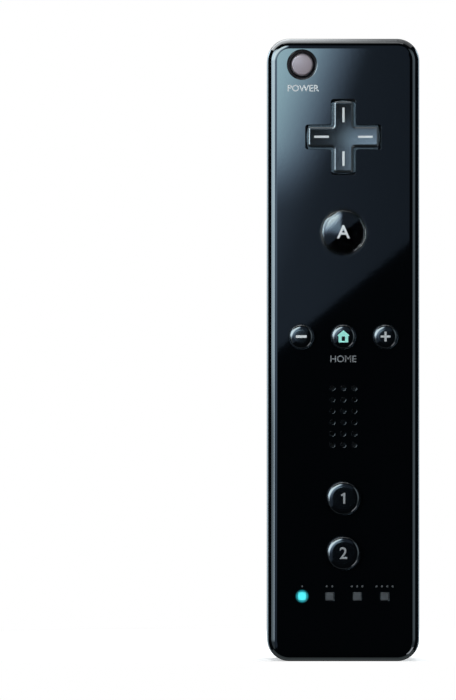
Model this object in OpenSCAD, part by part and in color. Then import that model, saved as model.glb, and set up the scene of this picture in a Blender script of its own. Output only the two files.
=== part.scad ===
// Motion controller wand for one hand. It stands on its base with its front face towards -Y.
// Heights are measured up from the base, and depths back from the front face.

/* [Body] */
// Length from the base to the end of the nose
wand_len = 148; // [146:0.5:156]
// Width across the flat sides
wand_w = 36.2; // [36:0.2:40]
// Depth from the front face to the back of the grip
wand_d = 30.8; // [30.6:0.2:34]
// Depth of the nose where the trigger starts
nose_d = 20.3; // [20:0.1:21.5]
// Depth that the nose gains towards its end
nose_flare = 0.8; // [0:0.1:1.2]
// Height at which the back starts to fall away from the grip
grip_top = 93.5; // [92:0.5:96]
// Length of the slope from the grip to the nose
slope_len = 27; // [25:0.5:29]
// Outline corner radius, seen from the front
outline_r = 5.3; // [4.5:0.1:6]
// Edge radius round the front face
face_edge_r = 2.2; // [1:0.1:2.4]
// Radius of the grip's long back edges
grip_edge_r = 10; // [8.5:0.5:11]
// Radius of the nose's long back edges
nose_edge_r = 7; // [5.5:0.5:8]
// Radius of the heel, where the back meets the base
heel_r = 8.5; // [7:0.5:9]
// Radius of the nose's upper back edge
nose_r = 2.9; // [2.4:0.1:4]
// Depth of the seam between the front and rear shells
seam_d = 7.4; // [7.2:0.1:8.4]
// Wall of both shells
wall = 1.8; // [1.5:0.1:2]
// Thickness of the front face
face_t = 1.8; // [1.5:0.1:2]
// Wall of the lip that joins the shells
lip_t = 0.8; // [0.6:0.1:1]

/* [Side grooves] */
// Width of the groove along each side
groove_w = 1.3; // [1:0.1:1.6]
// Depth of the groove into the side
groove_cut = 0.6; // [0.4:0.1:0.8]
// Height of the groove's closed end
groove_top = 99.9; // [90:0.5:110]
// Height of the middle of the detent pocket
detent_z = 68.2; // [50:0.5:80]
// Length of the detent pocket
detent_len = 4; // [3:0.5:6]
// Depth of the detent pocket into the side
detent_cut = 1.1; // [0.8:0.1:1.2]
// Length over which the groove flares at the base
flare_len = 12; // [8:1:16]
// Width that the flare adds at the base
flare_w = 2.2; // [1:0.1:3]

/* [Buttons] */
// Room round each button in its hole
button_gap = 0.2; // [0.15:0.05:0.3]
// Depth that a button sinks when it is pressed
press_depth = 0.9; // [0.6:0.1:1]
// Width of the flange that keeps a button in
flange_w = 0.8; // [0.6:0.1:1]
// Thickness of that flange
flange_t = 0.7; // [0.5:0.1:0.8]
// Distance of the power button below the nose end
power_drop = 6.2; // [6:0.1:8]
// Distance of the power button from the left side
power_edge = 8.3; // [8:0.1:10]
// Radius of the power button
power_r = 2.5; // [2:0.1:2.7]
// Depth of the power button's top below the face
power_sink = 0.3; // [0.1:0.1:0.6]
// Radius of the dish round the power button
power_dish_r = 3.55; // [3.4:0.05:4]
// Distance of the direction pad's centre below the nose end
pad_drop = 23.4; // [22.5:0.1:25]
// Span of the direction pad from arm end to arm end
pad_span = 16.8; // [15:0.2:17.4]
// Width of a direction pad arm
pad_arm = 4.6; // [4:0.1:5]
// Height of the direction pad above the face
pad_rise = 2.2; // [1.5:0.1:2.6]
// Hollow in the direction pad's top
pad_dish = 0.5; // [0.2:0.1:0.8]
// Room between the direction pad and its hole
pad_gap = 0.6; // [0.55:0.05:0.7]
// Tilt of the direction pad each way, in degrees
pad_tilt = 5; // [3:0.5:5]
// Distance of the A button below the nose end
a_drop = 46; // [44:0.5:48]
// Radius of the A button
a_r = 5.45; // [5:0.05:6]
// Height of the A button above the face
a_rise = 1.85; // [1.2:0.05:2.1]
// Rounding of the A button's rim
a_rim = 0.8; // [0.3:0.1:1]
// Height of the row of three small buttons
row_z = 77.2; // [75:0.2:80]
// Distance of the outer small buttons from the sides
row_edge = 8.1; // [7.2:0.1:9.6]
// Radius of a small button
row_r = 2.8; // [2.4:0.1:3.1]
// Height of a small button above the face
row_rise = 1.2; // [0.8:0.1:1.5]
// Height of the upper number button
one_z = 38.8; // [37:0.2:40]
// Height of the lower number button
two_z = 25.8; // [24:0.2:27]
// Radius of a number button
number_r = 3.85; // [3.5:0.05:4.2]
// Height of a number button above the face
number_rise = 1.5; // [1:0.1:1.8]
// Rounding of the small and number buttons' rims
key_rim = 0.4; // [0.2:0.1:0.6]

/* [Speaker and lamps] */
// Height of the speaker's centre
speaker_z = 58.2; // [57:0.2:60]
// Radius of the speaker
speaker_r = 8.6; // [8:0.1:9]
// Thickness of the speaker
speaker_t = 4.6; // [4:0.1:5]
// Thickness of the speaker's foam ring
gasket_t = 0.5; // [0.3:0.1:0.8]
// Radius of a speaker hole
grille_r = 0.6; // [0.4:0.05:0.7]
// Distance between the speaker holes across
grille_px = 2.6; // [2:0.1:3]
// Distance between the speaker holes up and down
grille_pz = 2.7; // [2:0.1:2.8]
// Height of the player lamps
lamp_z = 15.5; // [14:0.1:17]
// Distance of the outer player lamps from the sides
lamp_edge = 8.3; // [7.6:0.1:10]
// Width of a lamp's square lens
lamp_w = 1.9; // [1.5:0.1:2.2]

/* [Trigger] */
// Width of the trigger
trigger_w = 20; // [18:0.2:21]
// Room between the trigger and its slot
trigger_gap = 0.35; // [0.3:0.05:0.5]
// Height of the pivot pin above the grip's top
pivot_rise = 28; // [27.5:0.1:28.4]
// Distance of the pivot pin inside the nose's back
pivot_in = 3.5; // [3.3:0.1:4]
// Radius of the pivot pin
pin_r = 1; // [0.8:0.05:1.1]
// Distance from the pin to the trigger's underside
trigger_reach = 19.1; // [18.6:0.1:19.4]
// Radius of the finger scoop in the trigger's face
scoop_r = 13.3; // [12.6:0.1:14]
// Distance that the trigger's tip stays inside the grip's back
tip_in = 0.4; // [0.2:0.1:1]
// Thickness of the trigger's skin
trigger_t = 1.8; // [1.4:0.1:2]
// Pull of the trigger, in degrees
trigger_pull = 12; // [8:0.5:12]

/* [Battery bay] */
// Height of the battery cover's lower edge
cover_z = 6.3; // [6:0.1:8]
// Distance of the cover's upper edge below the grip's top
cover_drop = 0.4; // [0.2:0.1:1]
// Depth of the cover's front edge
cover_front = 19.2; // [18:0.1:20]
// Corner radius of the cover, seen from the side
cover_corner_r = 4.7; // [3:0.1:6]
// Gap at the parting line round the cover
parting = 0.3; // [0.2:0.05:0.4]
// Room between the cover and the ledge that it sits on
cover_seat = 0.2; // [0.15:0.05:0.25]
// Height of the thumb groove across the cover's back
thumb_z = 12.4; // [11:0.1:14]
// Height of the thumb groove's opening
thumb_h = 2.4; // [1.5:0.1:3]
// Depth of the thumb groove
thumb_cut = 0.5; // [0.3:0.1:0.7]
// Radius of a battery cell
cell_r = 7.1; // [6.9:0.05:7.15]
// Length of a battery cell with its nub
cell_len = 50.5; // [49.5:0.1:51]
// Radius of the cell's nub
nub_r = 2.7; // [2:0.1:2.8]
// Length of the cell's nub
nub_len = 1.2; // [1:0.1:1.5]
// Room round each cell
cell_gap = 0.25; // [0.2:0.05:0.3]
// Depth of the bay's floor
bay_floor = 13.9; // [13.5:0.1:14]
// Wall of the bay
bay_t = 1.2; // [1:0.1:1.4]
// Height of the lower end of the cells' room
bay_z = 26; // [25.5:0.1:27]
// Height of the lower end of the well under the cells
well_z = 14.2; // [14:0.1:15]
// Thickness of a contact plate
contact_t = 0.4; // [0.3:0.05:0.5]
// Length of a contact spring
coil_len = 5.5; // [5:0.1:6]
// Wire of a contact spring
coil_wire = 0.7; // [0.5:0.05:0.7]
// Turns of a contact spring
coil_turns = 4; // [3:1:4]

/* [Inside] */
// Room between the face and the circuit board
key_room = 3.6; // [3.5:0.1:3.8]
// Thickness of the circuit board
board_t = 1.2; // [1:0.1:1.2]
// Room between the circuit board and the walls
board_gap = 0.4; // [0.3:0.1:0.6]
// Thickness of the keypads' rubber sheet
mat_t = 0.6; // [0.4:0.1:0.7]
// Wall of a screw boss round its shank
boss_wall = 1.3; // [1:0.1:1.4]
// Radius of a case screw's shank
screw_r = 0.9; // [0.8:0.05:1]
// Radius of a case screw's head
head_r = 1.9; // [1.6:0.1:2]
// Height of a case screw's head
head_h = 1.2; // [1:0.1:1.3]
// Distance of the upper case screws below the nose end
upper_screw_drop = 17; // [16:0.2:18]
// Distance of the upper case screws from the centre line
upper_screw_side = 10.5; // [10.3:0.1:11]
// Height of the lower case screws
lower_screw_z = 19.6; // [19:0.1:20.5]
// Distance of the lower case screws from the centre line
lower_screw_side = 12; // [11.4:0.1:12.2]
// Radius of the rumble motor
motor_r = 3.6; // [3:0.1:3.8]
// Length of the rumble motor's can
motor_len = 12; // [10:0.5:13]
// Radius of the rumble weight
weight_r = 3.4; // [2.6:0.1:3.6]
// Length of the rumble weight
weight_len = 5.5; // [4:0.5:6]
// Radius of the rumble motor's shaft
shaft_r = 0.75; // [0.5:0.05:1]
// Width of the sensing camera in the nose
camera_w = 9; // [7:0.5:10]
// Share of the room above the trigger that the sensing camera's body takes
camera_share = 0.42; // [0.3:0.01:0.5]
// Radius of the sensing camera's lens barrel
lens_r = 3; // [2:0.1:3.5]
// Width of a push switch on the board
switch_w = 6; // [4.5:0.5:7]
// Height of the trigger switch's case
switch_h = 3.5; // [2.5:0.1:4]
// Radius of the sync button
sync_r = 1.9; // [1.5:0.1:2]
// Distance of the sync button from the centre line
sync_x = 5; // [3:0.5:5.5]

/* [Ends] */
// Width of the nose window
window_w = 20; // [16:0.2:21]
// Height of the nose window from front to back
window_h = 8; // [6:0.2:8.4]
// Corner radius of the nose window
window_r = 2; // [1:0.1:2.5]
// Width of the expansion socket's opening
socket_w = 14.2; // [12:0.2:14.6]
// Depth of the expansion socket's opening from front to back
socket_h = 7.2; // [7:0.1:7.4]
// Length of the expansion socket
socket_len = 11.5; // [10:0.5:12]
// Wall of the expansion socket
socket_t = 1; // [0.8:0.1:1.2]
// Thickness of the socket's contact blade
blade_t = 1.8; // [1.4:0.1:2]
// Contacts on the blade
contact_count = 6; // [4:1:8]
// Width of the strap slots
strap_w = 4.5; // [3:0.1:6]
// Opening of the strap slots
strap_h = 2; // [1.5:0.1:2.4]

/* [Hidden] */
$fn = 48;
end_steps = 6;
slope_steps = 12;
edge_steps = 8;
seat = 0.05;
fit = 0.1;
over = 1;
chip_t = 1;
led_t = 0.8;
lamp_air = 0.5;
mat_share = 0.0725;
post_wall = 0.9;
rib_in = 1.5;
weight_gap = 0.7;

face_y = (pad_rise - wand_d) / 2;
nose_z = grip_top + slope_len;
inner_w = wand_w / 2 - wall;
board_d = face_t + key_room;
board_back = board_d + board_t;
lip_d = board_back + fit;
flange_d = face_t + seat;
flange_back = flange_d + flange_t;

power_side = wand_w / 2 - power_edge;
row_pitch = wand_w / 2 - row_edge;
lamp_pitch = (wand_w / 2 - lamp_edge) / 1.5;

power_z = wand_len - power_drop;
pad_z = wand_len - pad_drop;
a_z = wand_len - a_drop;
upper_screw_z = wand_len - upper_screw_drop;
mat_edge = mat_share * (a_z - a_r - row_z - row_r);

pad_flange_r = pad_span / 2 + pad_gap / 2;
pad_flange_d = face_t + pad_flange_r * sin(sqrt(2) * pad_tilt) + button_gap;
pad_flange_back = pad_flange_d + flange_t / 2;
pivot_ball_r = 0.9;
pivot_hub_r = 2.1;
pivot_ball_d = board_d - pivot_ball_r - seat;
pad_dome_at = pad_span / 2 - pad_arm / 2;

cover_t = wall - 0.5;
deck_in = cover_t + cover_seat;
deck_t = 1.4;
ledge_w = 2;
cover_top = grip_top - cover_drop;
bay_half = 2 * cell_r + 1.5 * cell_gap;
cell_x = cell_r + cell_gap / 2;
cell_d = bay_floor + cell_r + cell_gap;
contact_half = cell_r - 2;
divider_d = cell_d + cell_r / 2;
bay_top = bay_z + 2 * contact_t + cell_len + coil_len + 2 * seat;

pivot_d = nose_d - pivot_in;
pivot_z = grip_top + pivot_rise;
scoop_d = nose_d + 0.3 + scoop_r;
scoop_z = pivot_z + 1.5;
trigger_top = pivot_z + 2.8;
trigger_front = pivot_d + 1.7;
tip_d = wand_d - tip_in;
boss_r = pin_r + 1.4;
pin_half = trigger_w / 2 + 3.4;
trigger_wire = 0.5;
trigger_turns = 3;
spring_len = trigger_turns * (trigger_wire + 0.45);
spring_r = pin_r + trigger_wire + board_gap / 2;
spring_x = trigger_w / 2 - trigger_t - spring_len - trigger_wire - 2 * fit;
pull_arm = 11.5;
pull_half = 1;
pull_z = pivot_z - pull_arm;
pull_d = pivot_d - 0.4;
plunger_d = pull_d - (pull_arm + pull_half) * sin(trigger_pull) - fit;

motor_d = bay_floor + motor_r + rib_in;
motor_z = max(bay_top + bay_t, grip_top - motor_r) + motor_r + weight_gap;
motor_x = -motor_len;

window_front = seam_d + 1.4;
window_mid = window_front + window_h / 2;
window_lip = 0.8;
lip_back = window_front - window_lip - fit;
barrel_top = wand_len - wall - seat - window_lip - fit;
camera_top = barrel_top - lens_r / 2;
camera_len = camera_share * (camera_top - trigger_top - trigger_gap);
port_front = seam_d + 0.9;
port_lift = 0.2;
port_back = port_front + socket_h + 2 * socket_t;
port_half = socket_w / 2 + socket_t;
port_len = socket_len + socket_t;
port_foot = wall + fit + lip_t + board_gap;
blade_back = port_front + socket_t + blade_t;
blade_half = socket_w / 2 - socket_t;
blade_z = port_lift + blade_t;
contact_in = 0.6;
strap_in = 1.2;
strap_top = cover_z - parting - strap_in;

sync_stop = board_back + 1.5 * chip_t;

// Shape of the back: a long grip, a smooth slope and a shallower nose.
function smooth(t) = let (u = min(1, max(0, t))) u * u * (3 - 2 * u);
function end_drop(t, r) = t >= r ? 0 : r - sqrt(max(0, r * r - (r - t) * (r - t)));
function slope_share(z) = smooth((z - grip_top) / slope_len);
function nose_line(z) = nose_d + nose_flare * max(0, z - nose_z) / (wand_len - nose_z);
function back_line(z) = wand_d + (nose_line(z) - wand_d) * slope_share(z);
function long_edge(z, i) = grip_edge_r + (nose_edge_r - grip_edge_r) * slope_share(z) - i;
function half_w(z, i) =
  wand_w / 2 - i - end_drop(z - i, outline_r - i) - end_drop(wand_len - i - z, outline_r - i);
function back_at(z, i) =
  back_line(z) - i - end_drop(z - i, heel_r - i) - end_drop(wand_len - i - z, max(nose_r - i, fit));

// Heights of the rings that the back's skin runs through, at a distance i inside the outer skin.
function stations(i) = concat(
  [for (k = [0 : end_steps]) i + (heel_r - i) * (1 - cos(90 * k / end_steps))],
  [for (k = [0 : slope_steps]) grip_top + slope_len * k / slope_steps],
  [for (k = [end_steps : -1 : 0]) wand_len - i - (outline_r - i) * (1 - cos(90 * k / end_steps))]);

function arc(cx, cy, r, a0, a1) =
  [for (k = [0 : edge_steps]) let (a = a0 + (a1 - a0) * k / edge_steps) [cx + r * cos(a), cy + r * sin(a)]];

function back_ring(z, i, front) =
  let (w = half_w(z, i), b = back_at(z, i), r = long_edge(z, i))
  concat([[w, front]], arc(w - r, b - r, r, 0, 90), arc(r - w, b - r, r, 90, 180), [[-w, front]]);

function face_ring(i) =
  let (x = wand_w / 2 - outline_r, lo = outline_r, hi = wand_len - outline_r, r = outline_r - i)
  concat(arc(x, hi, r, 90, 0), arc(x, lo, r, 0, -90), arc(-x, lo, r, -90, -180), arc(-x, hi, r, 180, 90));

// A closed skin through a list of rings that all have the same number of points.
module skin(rings) {
  n = len(rings[0]);
  m = len(rings);
  polyhedron(
    points = [for (r = rings) each r],
    faces = concat(
      [[for (j = [0 : n - 1]) j]],
      [[for (j = [n - 1 : -1 : 0]) (m - 1) * n + j]],
      [for (k = [0 : m - 2], j = [0 : n - 1])
        let (a = k * n + j, b = k * n + (j + 1) % n)
        each [[a, a + n, b], [b, a + n, b + n]]]));
}

// The space inside the back's skin at a distance i, from the depth front to the back.
module back_solid(i, front) {
  skin([for (z = stations(i)) [for (p = back_ring(z, i, front)) [p.x, face_y + p.y, z]]]);
}

// The front half, with its rounded face edge, down to the seam.
module front_solid() {
  steps = [for (k = [0 : edge_steps]) 90 * k / edge_steps];
  edge = [for (a = steps) [face_edge_r * (1 - sin(a)), face_edge_r * (1 - cos(a))]];
  skin([for (e = concat(edge, [[0, seam_d]])) [for (p = face_ring(e.x)) [p.x, face_y + e.y, p.y]]]);
}

// A plane shape drawn in width and height, from depth d0 back to depth d1.
module plate(d0, d1) {
  translate([0, face_y + d1, 0])
    rotate([90, 0, 0])
      linear_extrude(d1 - d0)
        children();
}

// A plane shape drawn in depth and height, across the width from x0 to x1.
module across(x0, x1) {
  translate([x0, face_y, 0])
    rotate([90, 0, 90])
      linear_extrude(x1 - x0)
        children();
}

// A plane shape drawn in width and depth, from height z0 up to z1.
module level(z0, z1) {
  translate([0, face_y, z0])
    linear_extrude(z1 - z0)
      children();
}

module rounded(w, h, r) {
  square([w - 2 * r, h], center = true);
  square([w, h - 2 * r], center = true);
  for (x = [-1, 1], y = [-1, 1])
    translate([x * (w / 2 - r), y * (h / 2 - r)])
      circle(r);
}

module block(x0, x1, z0, z1) {
  translate([x0, z0])
    square([x1 - x0, z1 - z0]);
}

module disc_at(x, z, r) {
  translate([x, z])
    circle(r);
}

module both_sides() {
  for (s = [0, 1])
    mirror([s, 0, 0])
      children();
}

// The side view of the battery cover, grown by g all round. It runs out past the back.
module cover_outline(g) {
  out = 2 * wand_d;
  translate([(cover_front + out) / 2, (cover_z + cover_top) / 2])
    rounded(out - cover_front + 2 * g, cover_top - cover_z + 2 * g, cover_corner_r + g);
}

// The groove along one side of the rear shell, from the seam back, with its flare at the base and its detent pocket.
module side_groove() {
  x = wand_w / 2;
  g0 = seam_d - over;
  g1 = seam_d + groove_w;
  across(x - groove_cut, x + over) {
    block(g0, g1, -over, groove_top);
    polygon([[g0, -over], [g1 + flare_w, -over], [g1 + flare_w, 0], [g1, flare_len], [g0, flare_len]]);
  }
  across(x - detent_cut, x + over)
    block(g0, g1, detent_z - detent_len / 2, detent_z + detent_len / 2);
}

module inner_outline(gap) {
  w = 2 * (inner_w - gap);
  translate([0, wand_len / 2])
    rounded(w, wand_len - 2 * wall - 2 * gap, outline_r - wall - gap);
}

module screw_spots() {
  both_sides() {
    translate([upper_screw_side, 0, upper_screw_z])
      children();
    translate([lower_screw_side, 0, lower_screw_z])
      children();
  }
}

// A round post or hole along the depth.
module post(d0, d1, r) {
  translate([0, face_y + d1, 0])
    rotate([90, 0, 0])
      cylinder(r = r, h = d1 - d0);
}

module pad_cross(span, arm, r) {
  rounded(span, arm, r);
  rounded(arm, span, r);
}

module row_spots() {
  for (k = [-1 : 1])
    translate([k * row_pitch, row_z])
      children();
}

module lamp_spots() {
  for (k = [0 : 3])
    translate([(k - 1.5) * lamp_pitch, lamp_z])
      children();
}

// FRONT SHELL
module front_shell() {
  color("#101316")
    difference() {
      union() {
        difference() {
          front_solid();
          plate(face_t, seam_d + over)
            inner_outline(0);
        }
        screw_spots()
          post(face_t - fit, board_d, screw_r + boss_wall);
      }
      screw_spots()
        post(face_t + fit, board_d + over, screw_r + seat / 2);
      plate(-over, face_t + over) {
        disc_at(-power_side, power_z, power_r + button_gap);
        disc_at(0, a_z, a_r + button_gap);
        row_spots()
          circle(row_r + button_gap);
        disc_at(0, one_z, number_r + button_gap);
        disc_at(0, two_z, number_r + button_gap);
        lamp_spots()
          square(lamp_w + 2 * fit, center = true);
      }
      plate(-over, face_t + over)
        translate([0, pad_z])
          pad_cross(pad_span + 2 * pad_gap, pad_arm + 2 * pad_gap, pad_gap);
      for (i = [-1 : 1], j = [-2.5 : 2.5])
        translate([i * grille_px, 0, speaker_z + j * grille_pz])
          post(-over, face_t + over, grille_r);
      translate([-power_side, face_y, power_z])
        rotate([-90, 0, 0])
          cylinder(r1 = power_dish_r, r2 = power_r + button_gap, h = face_t / 2);
    }
}

// REAR SHELL
// The outer skin, left open where the battery cover sits.
module rear_skin() {
  difference() {
    back_solid(0, seam_d);
    back_solid(wall, seam_d - over);
    across(-wand_w, wand_w)
      cover_outline(parting);
  }
}

// The ledge under the battery cover and the tub that holds the cells.
module battery_tub() {
  difference() {
    union() {
      difference() {
        intersection() {
          back_solid(deck_in, seam_d);
          across(-wand_w, wand_w)
            cover_outline(parting + ledge_w);
        }
        back_solid(deck_in + deck_t, seam_d - over);
      }
      intersection() {
        back_solid(deck_in, seam_d);
        plate(bay_floor - bay_t, wand_d + over)
          block(-wand_w, wand_w, well_z - bay_t, bay_top + bay_t);
      }
    }
    plate(bay_floor, wand_d + over) {
      block(-bay_half, bay_half, well_z, bay_z - bay_t);
      block(-bay_half, bay_half, bay_z, bay_top);
    }
    plate(divider_d, wand_d + over)
      block(-bay_half, bay_half, well_z, bay_top);
  }
}

// Ribs with a round saddle that carry the rumble motor.
module motor_ribs() {
  difference() {
    intersection() {
      back_solid(deck_in + fit, seam_d);
      for (x = [motor_x + rib_in, motor_x + motor_len - rib_in - bay_t])
        across(x, x + bay_t)
          block(motor_d, wand_d, bay_top + fit, motor_z + motor_r + bay_t);
    }
    translate([motor_x - over, face_y + motor_d, motor_z])
      rotate([0, 90, 0])
        cylinder(r = motor_r + seat, h = motor_len + 2 * over);
  }
}

// The slot that the trigger moves in, concentric with its pivot pin.
module trigger_slot() {
  half = trigger_w / 2 + trigger_gap;
  across(-half, half)
    intersection() {
      translate([pivot_d, pivot_z])
        circle(trigger_reach + trigger_gap);
      block(pivot_d - fit, 2 * wand_d, grip_top, trigger_top + trigger_gap);
    }
}

module rear_shell() {
  color("#23303a")
    difference() {
      union() {
        rear_skin();
        battery_tub();
        motor_ribs();
        plate(lip_d, lip_back)
          difference() {
            inner_outline(fit);
            inner_outline(fit + lip_t);
          }
        plate(seam_d, lip_back)
          difference() {
            inner_outline(-wall / 2);
            inner_outline(fit + lip_t / 2);
          }
        intersection() {
          back_solid(wall / 2, board_back);
          union() {
            both_sides() {
              translate([upper_screw_side, 0, upper_screw_z])
                post(board_back + seat, wand_d, head_r + post_wall);
              translate([lower_screw_side, 0, lower_screw_z])
                post(board_back + seat, bay_floor - fit, head_r + post_wall);
              translate([trigger_w / 2 + trigger_gap, face_y + pivot_d, pivot_z])
                rotate([0, 90, 0])
                  cylinder(r = boss_r, h = wand_w / 2);
            }
          }
        }
      }
      trigger_slot();
      screw_spots()
        post(board_back - over, wand_d, screw_r + fit);
      both_sides() {
        translate([upper_screw_side, 0, upper_screw_z])
          post(bay_floor - head_h, wand_d, head_r + fit);
        translate([lower_screw_side, 0, lower_screw_z])
          post(bay_floor - head_h, bay_floor + over, head_r + fit);
        side_groove();
      }
      translate([-pin_half - fit, face_y + pivot_d, pivot_z])
        rotate([0, 90, 0])
          cylinder(r = pin_r, h = 2 * (pin_half + fit));
      translate([sync_x, 0, lower_screw_z])
        post(board_back, bay_floor + over, sync_r + button_gap);
      level(wand_len - 2 * wall, wand_len + over)
        translate([0, window_mid])
          rounded(window_w + 2 * fit, window_h + 2 * fit, window_r);
      level(-over, 2 * wall)
        translate([0, (port_front + port_back) / 2])
          rounded(2 * (port_half + fit), port_back - port_front + 2 * fit, socket_t);
      level(-over, heel_r / 2)
        translate([0, port_back + strap_in + strap_h / 2])
          square([strap_w, strap_h], center = true);
      across(-strap_w / 2, strap_w / 2)
        block(wand_d - heel_r / 2, wand_d + over, strap_top - strap_h, strap_top);
    }
}

module battery_cover() {
  color("#23303a")
    difference() {
      intersection() {
        difference() {
          back_solid(0, seam_d);
          back_solid(cover_t, seam_d - over);
        }
        across(-wand_w, wand_w)
          cover_outline(0);
      }
      across(-wand_w, wand_w)
        block(wand_d - thumb_cut, wand_d + over, thumb_z - thumb_h / 2, thumb_z + thumb_h / 2);
    }
}

module ir_window() {
  color("#0a080c") {
    level(wand_len - wall - seat, wand_len - fit)
      translate([0, window_mid])
        rounded(window_w, window_h, window_r - fit);
    level(wand_len - wall - seat - window_lip, wand_len - wall - seat)
      translate([0, window_mid])
        rounded(window_w + 2 * window_lip, window_h + 2 * window_lip, window_r);
  }
}

// BUTTONS
// A round key: a cap with a rounded rim above the face, and a flange behind it.
module round_key(x, z, r, rise, rim) {
  translate([x, face_y, z])
    rotate([90, 0, 0]) {
      rotate_extrude() {
        translate([0, -flange_back])
          square([r, flange_back + rise - rim]);
        square([r - rim, rise]);
        translate([r - rim, rise - rim])
          intersection() {
            circle(rim);
            square(rim);
          }
      }
      translate([0, 0, -flange_back])
        cylinder(r = r + flange_w, h = flange_t);
    }
}

module power_button() {
  color("#8d8288")
    translate([-power_side, face_y, power_z])
      rotate([-90, 0, 0]) {
        translate([0, 0, power_sink])
          cylinder(r = power_r, h = flange_back - power_sink);
        translate([0, 0, flange_d])
          cylinder(r = power_r + flange_w, h = flange_t);
      }
}

module dpad() {
  dish_r = pad_span * pad_span / 8 / pad_dish;
  color("#15191d")
    difference() {
      union() {
        plate(-pad_rise, pad_flange_back)
          translate([0, pad_z])
            pad_cross(pad_span, pad_arm, pad_gap);
        translate([0, 0, pad_z]) {
          post(pad_flange_d, pad_flange_back, pad_flange_r);
          post(pad_flange_d, pivot_ball_d, pivot_hub_r);
        }
      }
      translate([0, face_y - pad_rise, pad_z])
        rotate([90, 0, 0])
          rotate_extrude()
            intersection() {
              translate([0, dish_r - pad_dish])
                circle(dish_r, $fn = 720);
              translate([0, -pad_dish])
                square([pad_span, 2 * pad_dish]);
            }
      translate([0, face_y + pivot_ball_d, pad_z])
        sphere(r = pivot_ball_r + seat);
    }
}

module dpad_pivot() {
  color("#c9ccd0")
    translate([0, face_y + pivot_ball_d, pad_z])
      sphere(r = pivot_ball_r);
}

module a_button() {
  color("#c8d2d8")
    round_key(0, a_z, a_r, a_rise, a_rim);
}

module minus_button() {
  color("#15191d")
    round_key(-row_pitch, row_z, row_r, row_rise, key_rim);
}

module home_button() {
  color("#15191d")
    round_key(0, row_z, row_r, row_rise, key_rim);
}

module plus_button() {
  color("#15191d")
    round_key(row_pitch, row_z, row_r, row_rise, key_rim);
}

module one_button() {
  color("#15191d")
    round_key(0, one_z, number_r, number_rise, key_rim);
}

module two_button() {
  color("#15191d")
    round_key(0, two_z, number_r, number_rise, key_rim);
}

// Four clear posts that carry the lamps' light to the face, on one bar.
module lamp_lenses() {
  bar = 3 * lamp_pitch + 2 * lamp_w;
  color("#dfe8ea") {
    plate(seat, board_d - led_t - lamp_air)
      lamp_spots()
        square(lamp_w, center = true);
    plate(flange_d, flange_back)
      translate([0, lamp_z])
        square([bar, 2 * lamp_w], center = true);
  }
}

// KEYPADS
// Rubber sheet on the board, with a dome under each key that stops just short of it.
module dome(x, z, r, top) {
  translate([x, face_y + board_d - mat_t, z])
    rotate([90, 0, 0])
      cylinder(r1 = r, r2 = 0.8 * r, h = board_d - mat_t - top - seat);
}

module upper_keypad() {
  lo = a_z - a_r - mat_edge;
  hi = wand_len - wall - board_gap - mat_edge;
  color("#5b6166") {
    plate(board_d - mat_t, board_d)
      difference() {
        intersection() {
          inner_outline(board_gap);
          block(-inner_w, inner_w, lo, hi);
        }
        for (s = [-1, 1])
          disc_at(s * upper_screw_side, upper_screw_z, screw_r + boss_wall + board_gap);
        disc_at(0, pad_z, pivot_hub_r + board_gap);
      }
    dome(-power_side, power_z, 0.7 * power_r, flange_back);
    dome(0, a_z, 0.7 * a_r, flange_back);
    for (a = [0 : 90 : 270])
      dome(pad_dome_at * cos(a), pad_z + pad_dome_at * sin(a), pad_arm / 3, pad_flange_back);
  }
}

module middle_keypad() {
  color("#5b6166") {
    plate(board_d - mat_t, board_d)
      translate([0, row_z])
        rounded(2 * (row_pitch + row_r + mat_edge), 2 * (row_r + mat_edge), mat_edge);
    for (k = [-1 : 1])
      dome(k * row_pitch, row_z, 0.7 * row_r, flange_back);
  }
}

module lower_keypad() {
  color("#5b6166") {
    plate(board_d - mat_t, board_d)
      translate([0, (one_z + two_z) / 2])
        rounded(2 * (number_r + mat_edge), one_z - two_z + 2 * (number_r + mat_t), mat_edge);
    dome(0, one_z, 0.7 * number_r, flange_back);
    dome(0, two_z, 0.7 * number_r, flange_back);
  }
}

// ELECTRONICS
module main_board() {
  color("#1d5a3a")
    difference() {
      plate(board_d, board_back)
        inner_outline(board_gap);
      screw_spots()
        post(board_d - over, board_back + over, screw_r + board_gap);
      translate([0, 0, speaker_z])
        post(board_d - over, board_back + over, speaker_r + board_gap);
    }
}

module player_leds() {
  color("#e8e4d0")
    plate(board_d - led_t, board_d)
      lamp_spots()
        square(lamp_w - 2 * fit, center = true);
}

// A flat part on the board's back: w wide, h high and t thick round its middle at x and z.
module on_board(x, z, w, h, t) {
  plate(board_back, board_back + t)
    translate([x, z])
      square([w, h], center = true);
}

module board_chips() {
  chip = switch_w;
  below = speaker_z - speaker_r - chip;
  color("#16181a") {
    on_board(-chip, a_z, chip, chip, chip_t);
    on_board(chip, a_z - 2 * chip, chip, chip, chip_t);
    on_board(-1.5 * chip, below, chip, chip, chip_t);
    translate([1.5 * chip, 0, below])
      post(board_back, bay_floor - bay_t - over, chip / 3);
  }
}

module radio_shield() {
  can = 2 * switch_w;
  color("#b9bec3")
    on_board(0, lower_screw_z + can, can, can, 1.5 * chip_t);
}

// Daughter board with the motion sensor, raised on its connector.
module motion_board() {
  w = 2.5 * switch_w;
  h = 2 * switch_w;
  lo = speaker_z + speaker_r + board_gap + over;
  color("#23503f") {
    on_board(0, lo + h / 4, w / 2, h / 4, 2 * chip_t);
    plate(board_back + 2 * chip_t, board_back + 3 * chip_t)
      block(-w / 2, w / 2, lo, lo + h);
    plate(board_back + 3 * chip_t, board_back + 4 * chip_t)
      block(-w / 6, w / 6, lo + h / 3, lo + 2 * h / 3);
  }
}

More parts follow.
